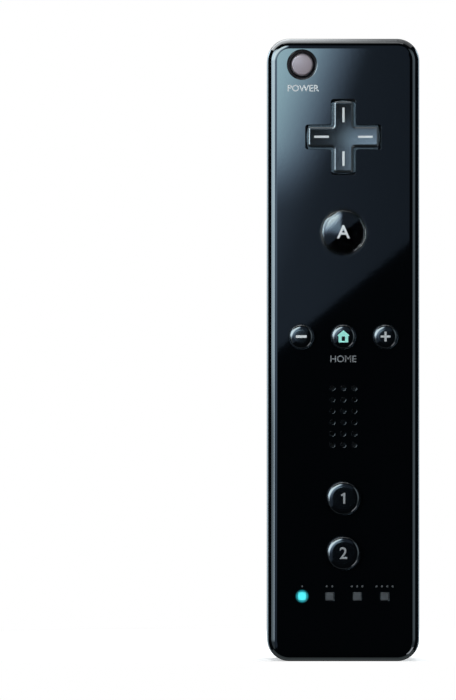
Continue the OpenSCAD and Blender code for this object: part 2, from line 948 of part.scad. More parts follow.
// The camera looks out through the nose window.
module ir_camera() {
  color("#1a1c20") {
    plate(board_back, window_mid + window_h / 2)
      block(-camera_w / 2, camera_w / 2, camera_top - camera_len, camera_top);
    translate([0, face_y + window_mid, camera_top])
      cylinder(r = lens_r, h = barrel_top - camera_top);
  }
}

module speaker() {
  color("#3a3d40")
    translate([0, 0, speaker_z])
      difference() {
        post(face_t + gasket_t, face_t + gasket_t + speaker_t, speaker_r);
        post(face_t + gasket_t - over, face_t + gasket_t + speaker_t / 6, speaker_r - wall);
      }
}

module speaker_gasket() {
  color("#2a2a2a")
    translate([0, 0, speaker_z])
      difference() {
        post(face_t, face_t + gasket_t, speaker_r);
        post(face_t - over, face_t + gasket_t + over, speaker_r - wall);
      }
}

// TRIGGER
// Side view of the trigger at a distance i inside its skin.
module trigger_side(i) {
  difference() {
    intersection() {
      translate([pivot_d, pivot_z])
        circle(trigger_reach - i);
      block(trigger_front - i, tip_d - i, grip_top, trigger_top - i);
    }
    translate([scoop_d, scoop_z])
      circle(scoop_r + i);
  }
}

module trigger() {
  half = trigger_w / 2;
  color("#23303a")
    difference() {
      union() {
        difference() {
          across(-half, half)
            trigger_side(0);
          across(trigger_t - half, half - trigger_t)
            trigger_side(trigger_t);
        }
        translate([-half, face_y + pivot_d, pivot_z])
          rotate([0, 90, 0])
            cylinder(r = boss_r, h = half + spring_x);
        translate([half - trigger_t, face_y + pivot_d, pivot_z])
          rotate([0, 90, 0])
            cylinder(r = boss_r, h = trigger_t);
        across(-trigger_t, trigger_t)
          difference() {
            block(pull_d, tip_d, pull_z - pull_half, pull_z + pull_half);
            translate([scoop_d, scoop_z])
              circle(scoop_r + trigger_t / 2);
          }
      }
      translate([-half - over, face_y + pivot_d, pivot_z])
        rotate([0, 90, 0])
          cylinder(r = pin_r + seat, h = trigger_w + 2 * over);
    }
}

module trigger_pin() {
  color("#c9ccd0")
    translate([-pin_half, face_y + pivot_d, pivot_z])
      rotate([0, 90, 0])
        cylinder(r = pin_r, h = 2 * pin_half);
}

// One tube of wire round the z axis, that climbs h while its radius goes from r0 to r1.
function coil_path(turns, r0, r1, h) =
  [for (k = [0 : 8 * turns]) let (t = k / (8 * turns)) [r0 + (r1 - r0) * t, 45 * k, h * t]];

function coil_point(c) = [c[0] * cos(c[1]), c[0] * sin(c[1]), c[2]];

// Least distance between the wire's surfaces, from turn to turn.
function coil_gap(path, wire) =
  min([for (i = [0 : len(path) - 1], j = [0 : len(path) - 1])
    if (j >= i + 5) norm(coil_point(path[i]) - coil_point(path[j])) - wire]);

module coil(path, wire) {
  skin([for (c = path)
    [for (k = [0 : 5])
      let (r = c[0] + wire / 2 * sin(60 * k))
      [r * cos(c[1]), r * sin(c[1]), c[2] + wire / 2 * cos(60 * k)]]]);
}

trigger_coil = coil_path(trigger_turns, spring_r, spring_r, spring_len);
contact_coil = coil_path(coil_turns, contact_half - coil_wire / 2, nub_r - coil_wire / 2, coil_len - coil_wire);
echo(trigger_spring_gap = coil_gap(trigger_coil, trigger_wire));
echo(contact_spring_gap = coil_gap(contact_coil, coil_wire));

module trigger_spring() {
  color("#b9bec3")
    translate([spring_x + fit + trigger_wire / 2, face_y + pivot_d, pivot_z])
      rotate([0, 90, 0])
        coil(trigger_coil, trigger_wire);
}

module trigger_switch() {
  color("#2a2d30") {
    on_board(0, pull_z, switch_w, switch_w, switch_h);
    translate([0, 0, pull_z])
      post(board_back + switch_h - fit, plunger_d, switch_w / 4);
  }
}

// RUMBLE
module rumble_motor() {
  color("#a9afb5")
    translate([motor_x, face_y + motor_d, motor_z])
      rotate([0, 90, 0]) {
        cylinder(r = motor_r, h = motor_len);
        cylinder(r = shaft_r, h = motor_len + weight_len + 2 * weight_gap);
      }
}

module rumble_weight() {
  color("#7e858c")
    translate([motor_x + motor_len + weight_gap, face_y + motor_d, motor_z])
      rotate([0, 90, 0])
        difference() {
          union() {
            intersection() {
              cylinder(r = weight_r, h = weight_len);
              translate([0, -weight_r, -over])
                cube([2 * weight_r, 2 * weight_r, weight_len + 2 * over]);
            }
            cylinder(r = 2 * shaft_r, h = weight_len);
          }
          translate([0, 0, -over])
            cylinder(r = shaft_r + seat, h = weight_len + 2 * over);
        }
}

// EXPANSION SOCKET
module expansion_port() {
  mid = (port_front + port_back) / 2;
  color("#d8d8d4")
    difference() {
      union() {
        level(port_lift, port_len)
          translate([0, mid])
            rounded(2 * port_half, port_back - port_front, socket_t - fit);
        plate(board_back, port_front + socket_t)
          block(-port_half, port_half, port_foot, port_len);
      }
      level(-over, socket_len)
        translate([-socket_w / 2, port_front + socket_t])
          square([socket_w, socket_h]);
    }
  color("#d8d8d4")
    plate(port_front + socket_t / 2, blade_back)
      block(-blade_half, blade_half, blade_z, socket_len + socket_t / 2);
}

module port_contacts() {
  pitch = 2 * (blade_half - contact_in) / contact_count;
  color("#d9b15a")
    plate(blade_back, blade_back + contact_t / 2)
      for (k = [0 : contact_count - 1])
        translate([(k - (contact_count - 1) / 2) * pitch, (blade_z + contact_in + socket_len) / 2])
          square([pitch / 2, socket_len - blade_z - contact_in], center = true);
}

// SYNC BUTTON
module sync_button() {
  color("#c2342f")
    translate([sync_x, 0, lower_screw_z]) {
      post(sync_stop + press_depth + fit, bay_floor - power_sink, sync_r);
      post(bay_floor - bay_t - seat - flange_t, bay_floor - bay_t - seat, sync_r + flange_w);
    }
}

module sync_switch() {
  color("#2a2d30") {
    on_board(sync_x, lower_screw_z, 2 * (sync_r + fit), 2 * (sync_r + fit), chip_t);
    translate([sync_x, 0, lower_screw_z])
      post(board_back + chip_t - fit, sync_stop, sync_r / 2);
  }
}

// BATTERY
module contact_plate(x0, x1, z0) {
  level(z0, z0 + contact_t)
    translate([x0 - contact_half, cell_d - contact_half])
      square([x1 - x0 + 2 * contact_half, 2 * contact_half]);
}

module lower_contact_plate() {
  color("#b9bec3")
    contact_plate(-cell_x, cell_x, bay_z);
}

module upper_contact_plates() {
  color("#b9bec3")
    both_sides()
      contact_plate(cell_x, cell_x, bay_top - contact_t);
}

module lower_contact_spring() {
  color("#b9bec3")
    translate([-cell_x, face_y + cell_d, bay_z + contact_t + coil_wire / 2])
      coil(contact_coil, coil_wire);
}

module upper_contact_spring() {
  color("#b9bec3")
    translate([cell_x, face_y + cell_d, bay_top - contact_t - coil_wire / 2])
      rotate([180, 0, 0])
        coil(contact_coil, coil_wire);
}

module cell() {
  cylinder(r = cell_r, h = cell_len - nub_len);
  cylinder(r = nub_r, h = cell_len);
}

module aa_cell_left() {
  color("#3d4247")
    translate([-cell_x, face_y + cell_d, bay_top - contact_t - seat - cell_len])
      cell();
}

module aa_cell_right() {
  color("#3d4247")
    translate([cell_x, face_y + cell_d, bay_z + contact_t + seat + cell_len])
      rotate([180, 0, 0])
        cell();
}

module case_screws() {
  color("#9aa0a6")
    screw_spots() {
      post(bay_floor - head_h, bay_floor - fit, head_r);
      post(face_t + 2 * fit, bay_floor - head_h + fit, screw_r);
    }
}

front_shell();
rear_shell();
battery_cover();
ir_window();
power_button();
dpad();
dpad_pivot();
a_button();
minus_button();
home_button();
plus_button();
one_button();
two_button();
lamp_lenses();
upper_keypad();
middle_keypad();
lower_keypad();
main_board();
player_leds();
board_chips();
radio_shield();
motion_board();
ir_camera();
speaker();
speaker_gasket();
trigger();
trigger_pin();
trigger_spring();
trigger_switch();
rumble_motor();
rumble_weight();
expansion_port();
port_contacts();
sync_button();
sync_switch();
lower_contact_plate();
lower_contact_spring();
upper_contact_plates();
upper_contact_spring();
aa_cell_left();
aa_cell_right();
case_screws();
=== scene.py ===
import bpy
import numpy as np
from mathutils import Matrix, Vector
from mathutils.geometry import delaunay_2d_cdt


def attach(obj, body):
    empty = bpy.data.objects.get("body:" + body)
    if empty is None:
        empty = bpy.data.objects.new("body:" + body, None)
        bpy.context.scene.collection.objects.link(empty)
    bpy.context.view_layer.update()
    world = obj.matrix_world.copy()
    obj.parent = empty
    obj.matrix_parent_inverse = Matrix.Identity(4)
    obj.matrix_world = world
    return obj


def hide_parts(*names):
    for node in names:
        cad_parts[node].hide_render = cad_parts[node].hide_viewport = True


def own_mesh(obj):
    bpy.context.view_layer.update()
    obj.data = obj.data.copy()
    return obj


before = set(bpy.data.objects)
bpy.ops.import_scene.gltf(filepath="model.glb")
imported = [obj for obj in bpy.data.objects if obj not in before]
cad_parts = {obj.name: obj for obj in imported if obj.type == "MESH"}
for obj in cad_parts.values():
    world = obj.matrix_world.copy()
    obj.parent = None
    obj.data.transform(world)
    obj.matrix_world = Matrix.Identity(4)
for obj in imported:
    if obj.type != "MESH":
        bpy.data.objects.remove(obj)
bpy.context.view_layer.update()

# REAR SHELL
# The half that lies in the palm: one injection moulding in black ABS with a fine spark-eroded grain.
# It carries the battery tub, the trigger slot, the nose window and a runner groove on each side of the seam.
# Sizes are in mm: a depth runs back from the face, which lies at face_y, and a height runs up from the base.
long, half, deep = 148.0, 18.1, 30.8
face_y = -14.3
seam, wall = 7.4, 1.8
corner_r, heel_r, nose_r = 5.3, 8.5, 2.9
slope_low, slope_top = 93.5, 120.5
nose_deep, nose_gain = 20.3, 0.8
grip_edge_r, nose_edge_r = 10.0, 7.0
quarter = np.pi / 2
heel_run, nose_run = heel_r * quarter, corner_r * quarter
run = heel_run + long - heel_r - corner_r + nose_run
part_u, mid_u, all_u = 12, 36, 72
forwards, backwards, upwards, downwards = (0, -1, 0), (0, 1, 0), (0, 0, 1), (0, 0, -1)


def line(start, end, n):
    """n numbers or points at even steps on the straight from start to end."""
    return np.linspace(start, end, n)


def angles(n):
    """n even angles round a full turn."""
    return np.linspace(0, 2 * np.pi, n, endpoint=False)


def columns(*parts):
    """Points with the parts side by side as their coordinates; a single number is repeated."""
    return np.stack(np.broadcast_arrays(*parts), -1)


def unit(a):
    """Vectors brought to a length of 1."""
    return a / np.maximum(np.linalg.norm(a, axis=-1, keepdims=True), 1e-12)


def end_fall(t, r):
    """How far a rounded end of radius r falls back a distance t from its end: r less the circle's height."""
    t = np.clip(t, 0, r)
    return r - np.sqrt(t * (2 * r - t))


def section(z):
    """Half width, back depth and long edges' radius at height z: a grip, a smooth cubic slope and a nose."""
    s = np.clip((z - slope_low) / (slope_top - slope_low), 0, 1)
    s = s * s * (3 - 2 * s)
    nose = nose_deep + nose_gain * np.clip((z - slope_top) / (long - slope_top), 0, None)
    w = half - end_fall(z, corner_r) - end_fall(long - z, corner_r)
    b = deep + (nose - deep) * s - end_fall(z, heel_r) - end_fall(long - z, nose_r)
    return w, b, grip_edge_r + (nose_edge_r - grip_edge_r) * s


def height(v):
    """Height at a way v up the back, measured along the heel's arc, the straight and the nose's arc."""
    top = long - corner_r * (1 - np.cos(np.clip((run - v) / corner_r, 0, quarter)))
    low = heel_r * (1 - np.cos(np.clip(v / heel_r, 0, quarter)))
    return np.where(v < heel_run, low, np.where(v > run - nose_run, top, heel_r + v - heel_run))


def way_up(z):
    """The way v up the back that reaches height z."""
    low = heel_r * np.arccos(np.clip(1 - z / heel_r, -1, 1))
    top = run - corner_r * np.arccos(np.clip(1 - (long - z) / corner_r, -1, 1))
    return np.where(z < heel_r, low, np.where(z > long - corner_r, top, heel_run + z - heel_r))


def back_point(u, v):
    """The back's skin: v goes up it, and u round a ring of six equal parts: a side, an edge arc, half the
    back, and the same mirrored."""
    z = height(v)
    w, b, r = section(z)
    t = 3 - np.abs(3 - u / part_u)
    side, arc, across = np.clip(t, 0, 1), np.clip(t - 1, 0, 1) * quarter, np.clip(t - 2, 0, 1)
    x = w - r * (1 - np.cos(arc)) - (w - r) * across
    d = seam + (b - r - seam) * side + r * np.sin(arc)
    return columns(np.where(u < mid_u, x, -x), face_y + d, z)


def back(q):
    """Points of the skin and its outward normals, from the cross product of the differences along u and v."""
    u, v = q[:, 0], np.clip(q[:, 1], 0, run)
    e = 0.02
    du = back_point(u + e, v) - back_point(u - e, v)
    dv = back_point(u, np.minimum(v + e, run)) - back_point(u, np.maximum(v - e, 0))
    return back_point(u, v), unit(np.cross(du, dv))


def from_side(q, s=1):
    """Ring places of points given by depth and height in the side view, on the right (s = 1) or left side."""
    _, b, r = section(q[:, 1])
    straight = (q[:, 0] - seam) / (b - r - seam)
    arc = 1 + np.arcsin(np.clip((q[:, 0] - b + r) / r, 0, 1)) / quarter
    u = part_u * np.where(q[:, 0] < b - r, straight, arc)
    return columns(u if s > 0 else all_u - u, way_up(q[:, 1]))


def from_back(q):
    """Ring places of points given by width and height in the back view."""
    w, _, r = section(q[:, 1])
    a = np.abs(q[:, 0])
    arc = 1 + np.arccos(np.clip((a - w + r) / r, 0, 1)) / quarter
    u = part_u * np.where(a < w - r, 3 - a / (w - r), arc)
    return columns(np.where(q[:, 0] >= 0, u, all_u - u), way_up(q[:, 1]))


def on_back(q):
    """The skin at points given in the back view."""
    return back(from_back(q))


def other_side(q):
    """Ring places mirrored from the right side to the left."""
    return q * [-1, 1] + [all_u, 0]


def rounded(corners, r, steps=7):
    """A closed loop with rounded corners and its outward normals: each corner becomes an arc between its two
    tangents."""
    c = np.asarray(corners, float)
    r = np.broadcast_to(np.asarray(r, float), len(c))[:, None]
    e0, e1 = unit(c - np.roll(c, 1, 0)), unit(np.roll(c, -1, 0) - c)
    turn = np.arctan2(e0[:, 0] * e1[:, 1] - e0[:, 1] * e1[:, 0], (e0 * e1).sum(1))[:, None]
    sign = np.sign(turn)
    inner = columns(-e0[:, 1], e0[:, 0]) * sign
    centre = c - e0 * r * np.tan(np.abs(turn) / 2) + inner * r
    a = turn * line(0, 1, steps)
    ca, sa = np.cos(a), np.sin(a)
    out = columns(-inner[:, :1] * ca + inner[:, 1:] * sa, -inner[:, :1] * sa - inner[:, 1:] * ca)
    return (centre[:, None] + r[:, None] * out).reshape(-1, 2), (sign[:, None] * out).reshape(-1, 2)


def box_loop(x0, x1, z0, z1, r, steps=7):
    """A rectangle with rounded corners."""
    return rounded([(x0, z0), (x1, z0), (x1, z1), (x0, z1)], r, steps)


def circle(x, z, r, n=48):
    """A round loop and its normals: the cosine and sine of n angles, times the radius, about a centre."""
    out = columns(np.cos(angles(n)), np.sin(angles(n)))
    return np.array([x, z]) + r * out, out


def grown(loop, g):
    """A loop's points moved out along its normals by g."""
    return loop[0] + g * loop[1]


def odd(points, loops):
    """True where a ray along +x from a point crosses the loops an odd number of times."""
    a = np.concatenate(loops)
    b = np.concatenate([np.roll(l, -1, 0) for l in loops])
    px, pz = points[:, :1], points[:, 1:]
    span = (a[:, 1] > pz) != (b[:, 1] > pz)
    rise = np.where(a[:, 1] == b[:, 1], 1, b[:, 1] - a[:, 1])
    return (span & (px < a[:, 0] + (pz - a[:, 1]) * (b[:, 0] - a[:, 0]) / rise)).sum(1) % 2 == 1


def fill(place, loops, step=0.0):
    """A patch inside the first loop and outside the others, split by Delaunay's rule with a square grid of
    points a step apart between the loops, and carried from the loops' plane to the surface by place."""
    pts = np.concatenate(loops)
    first = np.cumsum([0] + [len(l) for l in loops])
    ends = np.concatenate([columns(np.arange(len(l)), np.roll(np.arange(len(l)), -1)) + f
                           for l, f in zip(loops, first)])
    if step:
        lo, hi = loops[0].min(0) + step / 2, loops[0].max(0)
        g = np.stack(np.meshgrid(*map(np.arange, lo, hi, (step, step))), -1).reshape(-1, 2)
        g = g[odd(g, loops)]
        a, ab = pts[ends[:, 0]], pts[ends[:, 1]] - pts[ends[:, 0]]
        ap = g[:, None] - a
        t = np.clip((ap * ab).sum(-1) / np.maximum((ab * ab).sum(-1), 1e-12), 0, 1)
        near = np.linalg.norm(ap - t[..., None] * ab, axis=-1).min(1)
        pts = np.concatenate([pts, g[near > 0.45 * step]])
    spots, _, faces, origins = delaunay_2d_cdt(pts.tolist(), ends.tolist(), [], 0, 1e-7)[:4]
    kept = np.array([o[0] if o else -1 for o in origins])
    spots = np.where(kept[:, None] >= 0, pts[kept], np.array(spots))
    faces = np.array(faces)
    return (*place(spots), faces[odd(spots[faces].mean(1), loops)])


def strip(p, n, closed=True):
    """The faces of a grid of points, rows by columns, whose columns may close into a ring."""
    rows, cols = p.shape[:2]
    i, j = np.meshgrid(np.arange(rows - 1), np.arange(cols if closed else cols - 1), indexing="ij")
    k = (j + 1) % cols
    f = columns(i * cols + j, i * cols + k, (i + 1) * cols + k, (i + 1) * cols + j).reshape(-1, 4)
    return p.reshape(-1, 3), n.reshape(-1, 3), f


def rim(place, loop, runs, hole=True):
    """Carries a profile round a loop on a surface. A run's rows say how far the loop is grown and how deep
    the row lies, and may give the normal's two parts, else square to the profile. Runs meet sharply."""
    patches = []
    for rows in runs:
        rows = np.asarray(rows, float)
        t = unit(np.gradient(rows[:, :2], axis=0)) * (-1 if hole else 1)
        along, out = rows[:, 2:].T if rows.shape[1] > 2 else (t[:, 1], t[:, 0])
        rings = [place(grown(loop, g)) for g in rows[:, 0]]
        p, n = np.stack([r[0] for r in rings]), np.stack([r[1] for r in rings])
        b = unit(np.stack([place(grown(loop, g + 0.02))[0] for g in rows[:, 0]]) - p)
        normals = b * along[:, None, None] + n * out[:, None, None]
        patches.append(strip(p - n * rows[:, 1, None, None], normals))
    return patches


def edge(r, hole=True, steps=5, at=0.0):
    """Rows of a quarter round of radius r from a surface into a wall where the loop is grown by at: sine
    along it, one less cosine down, and the circle's own normal."""
    a, s = line(0, quarter, steps), -1 if hole else 1
    return columns(at - s * r * (1 - np.sin(a)), r * (1 - np.cos(a)), s * np.sin(a), np.cos(a))


def sharp(*points):
    """A profile's points as straight runs that meet in sharp edges."""
    return list(zip(points, points[1:]))


def lipped(r, down, hole=True, steps=5, at=0.0):
    """The runs of a rounded edge and the straight wall below it."""
    return [edge(r, hole, steps, at), [(at, r), (at, down)]]


def flat(axes, at, normal):
    """A plane for loops: two of the axes 0 width, 1 depth, 2 height hold the loop, the third is fixed."""
    third = 3 - sum(axes)

    def place(q):
        p = np.empty((len(q), 3))
        p[:, axes[0]], p[:, axes[1]], p[:, third] = q[:, 0], q[:, 1], at
        p[:, 1] += face_y
        return p, np.tile(np.array(normal, float), (len(q), 1))
    return place


def front_plane(depth):
    """A plane that faces forwards, like the face."""
    return flat((0, 2), depth, forwards)


def rear_plane(depth):
    """A plane that faces backwards."""
    return flat((0, 2), depth, backwards)


def piece(name, patches, finishes, body, cad_node=None):
    """One mesh from patches of points in mm, outward normals, faces and a finish's number. Corners within a
    micron are merged, faces turn to agree with their normals, and each corner keeps its patch's normal."""
    p = np.concatenate([a[0] for a in patches])
    n = np.concatenate([a[1] for a in patches])
    first = np.cumsum([0] + [len(a[0]) for a in patches])
    f = np.concatenate([np.asarray(a[2])[:, [0, 1, 2, -1]] + s for a, s in zip(patches, first)])
    number = np.concatenate([np.full(len(a[2]), a[3] if len(a) > 3 else 0) for a in patches])
    turned_in = (np.cross(p[f[:, 2]] - p[f[:, 0]], p[f[:, 3]] - p[f[:, 1]]) * n[f].sum(1)).sum(1) < 0
    f[turned_in] = f[turned_in][:, ::-1]
    _, one, same = np.unique(np.round(p, 3), axis=0, return_index=True, return_inverse=True)
    w = same.reshape(-1)[f]
    keep = w != np.roll(w, -1, 1)
    good = keep.sum(1) > 2
    keep &= good[:, None]
    sizes = keep.sum(1)[good]
    mesh = bpy.data.meshes.new(name)
    mesh.vertices.add(len(one))
    mesh.vertices.foreach_set("co", (p[one] * 0.001).ravel())
    mesh.loops.add(int(sizes.sum()))
    mesh.loops.foreach_set("vertex_index", w[keep])
    mesh.polygons.add(len(sizes))
    mesh.polygons.foreach_set("loop_start", np.concatenate([[0], np.cumsum(sizes)[:-1]]))
    mesh.polygons.foreach_set("material_index", number[good])
    mesh.polygons.foreach_set("use_smooth", np.ones(len(sizes), bool))
    mesh.update(calc_edges=True)
    mesh.normals_split_custom_set(unit(n[f][keep]).tolist())
    made = bpy.data.objects.new(name, mesh)
    bpy.context.scene.collection.objects.link(made)
    for m in finishes if isinstance(finishes, (list, tuple)) else [finishes]:
        mesh.materials.append(m)
    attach(made, body)
    if cad_node:
        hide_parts(cad_node)
    return made


how_name = {"Math": "operation", "VectorMath": "operation", "Mix": "data_type", "TexVoronoi": "feature",
            "MapRange": "interpolation_type"}


def wire(made, *plugs, **named):
    """Sets a node's sockets, in order and by name, or links them where another node's output is given."""
    for key, value in (*enumerate(plugs), *named.items()):
        socket = made.inputs[key.replace("_", " ") if isinstance(key, str) else key]
        if isinstance(value, bpy.types.NodeSocket):
            made.id_data.links.new(value, socket)
        else:
            socket.default_value = value
    return made.outputs


def node(tree, kind, *plugs, how=None, **named):
    """A new node with its sockets set, once how has said what it does."""
    made = tree.nodes.new("ShaderNode" + kind)
    if how:
        setattr(made, how_name[kind], how)
    return wire(made, *plugs, **named)


def finish(name, colour, rough, grain=0.05, grain_mm=0.3, drift=0.12, **sockets):
    """A moulded or metal finish on Object coordinates: a fine noise stands up as grain, and a slow one
    drifts the colour and the roughness a little, as mould flow and handling do."""
    m = bpy.data.materials.new(name)
    m.use_nodes = True
    tree = m.node_tree
    where = node(tree, "TexCoord")["Object"]
    slow = node(tree, "TexNoise", Vector=where, Scale=90, Detail=4)["Fac"]
    fine = node(tree, "TexNoise", Vector=where, Scale=1000 / grain_mm, Detail=2)["Fac"]
    dark, light = [(*[min(1, c * k) for c in colour], 1) for k in (1 - drift, 1 + drift)]
    tint = node(tree, "Mix", how="RGBA", Factor=slow, A=dark, B=light)["Result"]
    polish = node(tree, "MapRange", slow, 0, 1, rough * (1 - drift), rough * (1 + drift))["Result"]
    bump = node(tree, "Bump", Strength=grain, Distance=0.00005, Height=fine)["Normal"]
    wire(tree.nodes["Principled BSDF"], Base_Color=tint, Roughness=polish, Normal=bump, **sockets)
    return m


satin = finish("satin_black_abs", (0.008, 0.0155, 0.025), 0.28, grain=0.22, grain_mm=0.16, drift=0.03,
               Specular_IOR_Level=0.8, Specular_Tint=(0.72, 0.93, 1, 1))
cover_d, cover_low, cover_high, cover_r = 19.2, 6.3, 93.1, 4.7


def bow(x, z, r, start, end, n):
    """n points on an arc of radius r about (x, z), from one angle to another, by cosine and sine."""
    a = line(start, end, n)
    return columns(x + r * np.cos(a), z + r * np.sin(a))


def cover_loop(g):
    """The battery cover's edge on the skin, grown by g: along its lower edge, round both corners and up the
    front edge on each side, in ring places."""
    d, low, high, r = cover_d - g, cover_low - g, cover_high + g, cover_r + g
    foot, head = bow(d + r, low + r, r, -quarter, -np.pi, 10), bow(d + r, high - r, r, np.pi, quarter, 10)
    right = from_side(np.concatenate([foot, columns(d, line(low + r, high - r, 60)[1:-1]), head]))
    lower = columns(line(mid_u, right[0, 0], 26), right[0, 1])[:-1]
    upper = columns(line(right[-1, 0], mid_u, 26), right[-1, 1])[1:]
    one = np.concatenate([lower, right, upper])
    return np.concatenate([one, other_side(one)[-2:0:-1]])


def on_cover_edge(q):
    """Skin points of the cover's edge, where the first column of q holds how far the edge is grown."""
    return back(cover_loop(q[0, 0]))


cover_count = len(cover_loop(0))
cover_ring = np.zeros((cover_count, 2)), np.tile([1.0, 0.0], (cover_count, 1))
trigger_pin_d, trigger_pin_z = 16.8, 121.5
slot_half, slot_reach, slot_top, slot_r = 10.35, 19.45, 124.65, 0.5


def slot_foot(x):
    """Height where the slot's arc about the trigger's pin leaves the back, halved in on forty times."""
    lo, hi = np.full(len(x), 95.0), np.full(len(x), 121.0)
    for _ in range(40):
        mid = (lo + hi) / 2
        d = on_back(columns(x, mid))[0][:, 1] - face_y
        inside = (d - trigger_pin_d) ** 2 + (mid - trigger_pin_z) ** 2 < slot_reach ** 2
        lo, hi = np.where(inside, lo, mid), np.where(inside, mid, hi)
    return hi


slot_low = slot_foot(np.zeros(1))[0]
slot_foot_row = columns(line(-slot_half, slot_half, 24), slot_low)
slot_loop = rounded([*slot_foot_row, (slot_half, slot_top), (-slot_half, slot_top)],
                    [slot_r] + [0.0] * 22 + [slot_r] * 3, 4)


def bent(q):
    """Points of the slot's edge in the back view, its lowest millimetre bent to the arc about the pin."""
    low = np.clip(slot_low + 1 - q[:, 1], 0, 1)
    foot = slot_foot(np.clip(q[:, 0], -slot_half, slot_half)) - slot_low
    return columns(q[:, 0], q[:, 1] + low * foot)


def on_slot(q):
    """The slot's edge on the skin."""
    return on_back(bent(q))


slot_round, hole_round, well_deep = 0.25, 0.2, 2.2
screw_x, screw_z = 10.5, 131
screw_holes = [circle(s * screw_x, screw_z, 2.0, 32) for s in (1, -1)]
strap_hole = box_loop(-2.25, 2.25, 2.8, 4.8, 0.4, 5)
groove_x, groove_d, groove_low, groove_top = 17.5, 8.7, 2.85, 99.9
flare_top, stop_x, stop_low, stop_top = 12, 17.0, 66.2, 70.2
flare_d = groove_d + 2.2 * (flare_top - groove_low) / flare_top
flare_path = line((flare_d, groove_low), (groove_d, flare_top), 10)
groove_path = line((groove_d, flare_top), (groove_d, groove_top), 45)
groove_end = line((groove_d, groove_top), (seam, groove_top), 4)
v_low, v_top = way_up(np.array([groove_low, groove_top]))
foot_run = columns(0, line(0, v_low, 12))
head_run = columns(0, np.concatenate([line(v_top, run - nose_run, 22), line(run - nose_run, run, 13)[1:]]))
notch = np.concatenate([line((seam, groove_low), flare_path[0], 5)[1:], flare_path[1:], groove_path[1:],
                        groove_end[1:-1]])
right_edge = np.concatenate([foot_run, from_side(notch), head_run])
ring_u = line(0, all_u, all_u + 1)
outer = np.concatenate([right_edge, columns(ring_u[1:-1], run), other_side(right_edge)[::-1],
                        columns(ring_u[-2:0:-1], 0)])
rear_case = [fill(back, [outer, cover_loop(0.42), from_back(bent(grown(slot_loop, slot_round))),
                         *[from_back(grown(h, hole_round)) for h in (*screw_holes, strap_hole)]], 1.0)]
rear_case += rim(on_cover_edge, cover_ring, lipped(0.12, 1.6, at=0.3))
rear_case += rim(on_slot, slot_loop, lipped(slot_round, wall))
for h, down in ((screw_holes[0], well_deep), (screw_holes[1], well_deep), (strap_hole, wall)):
    rear_case += rim(on_back, h, lipped(hole_round, down))

window_hole, port_hole = box_loop(-10.1, 10.1, 8.7, 16.9, 2), box_loop(-8.2, 8.2, 8.2, 17.6, 1)
strap_slot = box_loop(-2.25, 2.25, 18.7, 20.7, 0.4, 5)
for v, z, facing, cuts in ((run, long, upwards, [window_hole]), (0, 0, downwards, [port_hole, strap_slot])):
    end = flat((0, 1), z, facing)
    ring = back(columns(ring_u, v))[0][:, :2] - [0, face_y]
    rear_case.append(fill(end, [ring, *[grown(h, hole_round) for h in cuts]]))
    for h in cuts:
        rear_case += rim(end, h, lipped(hole_round, wall))


def groove_wall(s, path, x0, x1, normal):
    """A flat wall along a path of depth and height on side s, from width x0 (the skin if None) to x1."""
    skin = back(from_side(path, s))[0][:, 0]
    rows = [columns(skin if x is None else s * x, path[:, 0] + face_y, path[:, 1]) for x in (x0, x1)]
    return strip(np.stack(rows), np.tile(np.array(normal, float), (2, len(path), 1)), False)


flare_normal = unit(np.array([groove_low - flare_top, groove_d - flare_d]))
groove_walls = ((groove_end, None, groove_x, downwards), (groove_path, None, groove_x, forwards),
                (flare_path, None, groove_x, (0, *flare_normal)),
                (line((groove_d, stop_low), (groove_d, stop_top), 2), groove_x, stop_x, forwards),
                (line((seam, stop_low), (groove_d, stop_low), 2), groove_x, stop_x, upwards),
                (line((seam, stop_top), (groove_d, stop_top), 2), groove_x, stop_x, downwards))
groove_floors = ((groove_x, flare_d, groove_low, flare_top), (groove_x, groove_d, flare_top, stop_low),
                 (stop_x, groove_d, stop_low, stop_top), (groove_x, groove_d, stop_top, groove_top))
for s in (1, -1):
    rear_case += [groove_wall(s, *w) for w in groove_walls]
    for x, d, z0, z1 in groove_floors:
        floor = np.array([(seam, z0), (d, z0), (groove_d, z1), (seam, z1)])
        rear_case.append(fill(flat((1, 2), s * x, (s, 0, 0)), [floor]))
lip = np.concatenate([back(foot_run)[0][:, [0, 2]],
                      [(groove_x, groove_low), (groove_x, stop_low), (stop_x, stop_low), (stop_x, stop_top),
                       (groove_x, stop_top), (groove_x, groove_top)],
                      back(head_run)[0][:, [0, 2]]])
outline = box_loop(-half, half, 0, long, corner_r, 14)
lip_loop = np.concatenate([lip, (lip * [-1, 1])[::-1]])
rear_case.append(fill(front_plane(seam), [lip_loop, grown(outline, -wall)]))


def skin_depth(p):
    """How far points lie inside the skin: the least of the ways to the side, back, edge arc and ends."""
    w, b, r = section(np.clip(p[:, 2], 0, long))
    x, d = np.abs(p[:, 0]), p[:, 1] - face_y
    ring = np.where((x > w - r) & (d > b - r), r - np.hypot(x - w + r, d - b + r), np.minimum(w - x, b - d))
    return np.minimum(ring, np.minimum(p[:, 2], long - p[:, 2]))


def corners_of(mesh):
    """The corners of a mesh's triangles: triangles by three corners by three coordinates."""
    mesh.calc_loop_triangles()
    co, tri = np.empty(len(mesh.vertices) * 3), np.empty(len(mesh.loop_triangles) * 3, int)
    mesh.vertices.foreach_get("co", co)
    mesh.loop_triangles.foreach_get("vertices", tri)
    return co.reshape(-1, 3)[tri].reshape(-1, 3, 3)


def facets(c):
    """A patch of loose triangles, each with its own flat normal."""
    n = unit(np.cross(c[:, 1] - c[:, 0], c[:, 2] - c[:, 0]))
    return c.reshape(-1, 3), np.repeat(n, 3, 0), np.arange(3 * len(c)).reshape(-1, 3)


def cad_patch(cad_node, keep):
    """A copy of a CAD node's triangles that pass keep."""
    c = corners_of(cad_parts[cad_node].data) * 1000
    return facets(c[keep(c)])


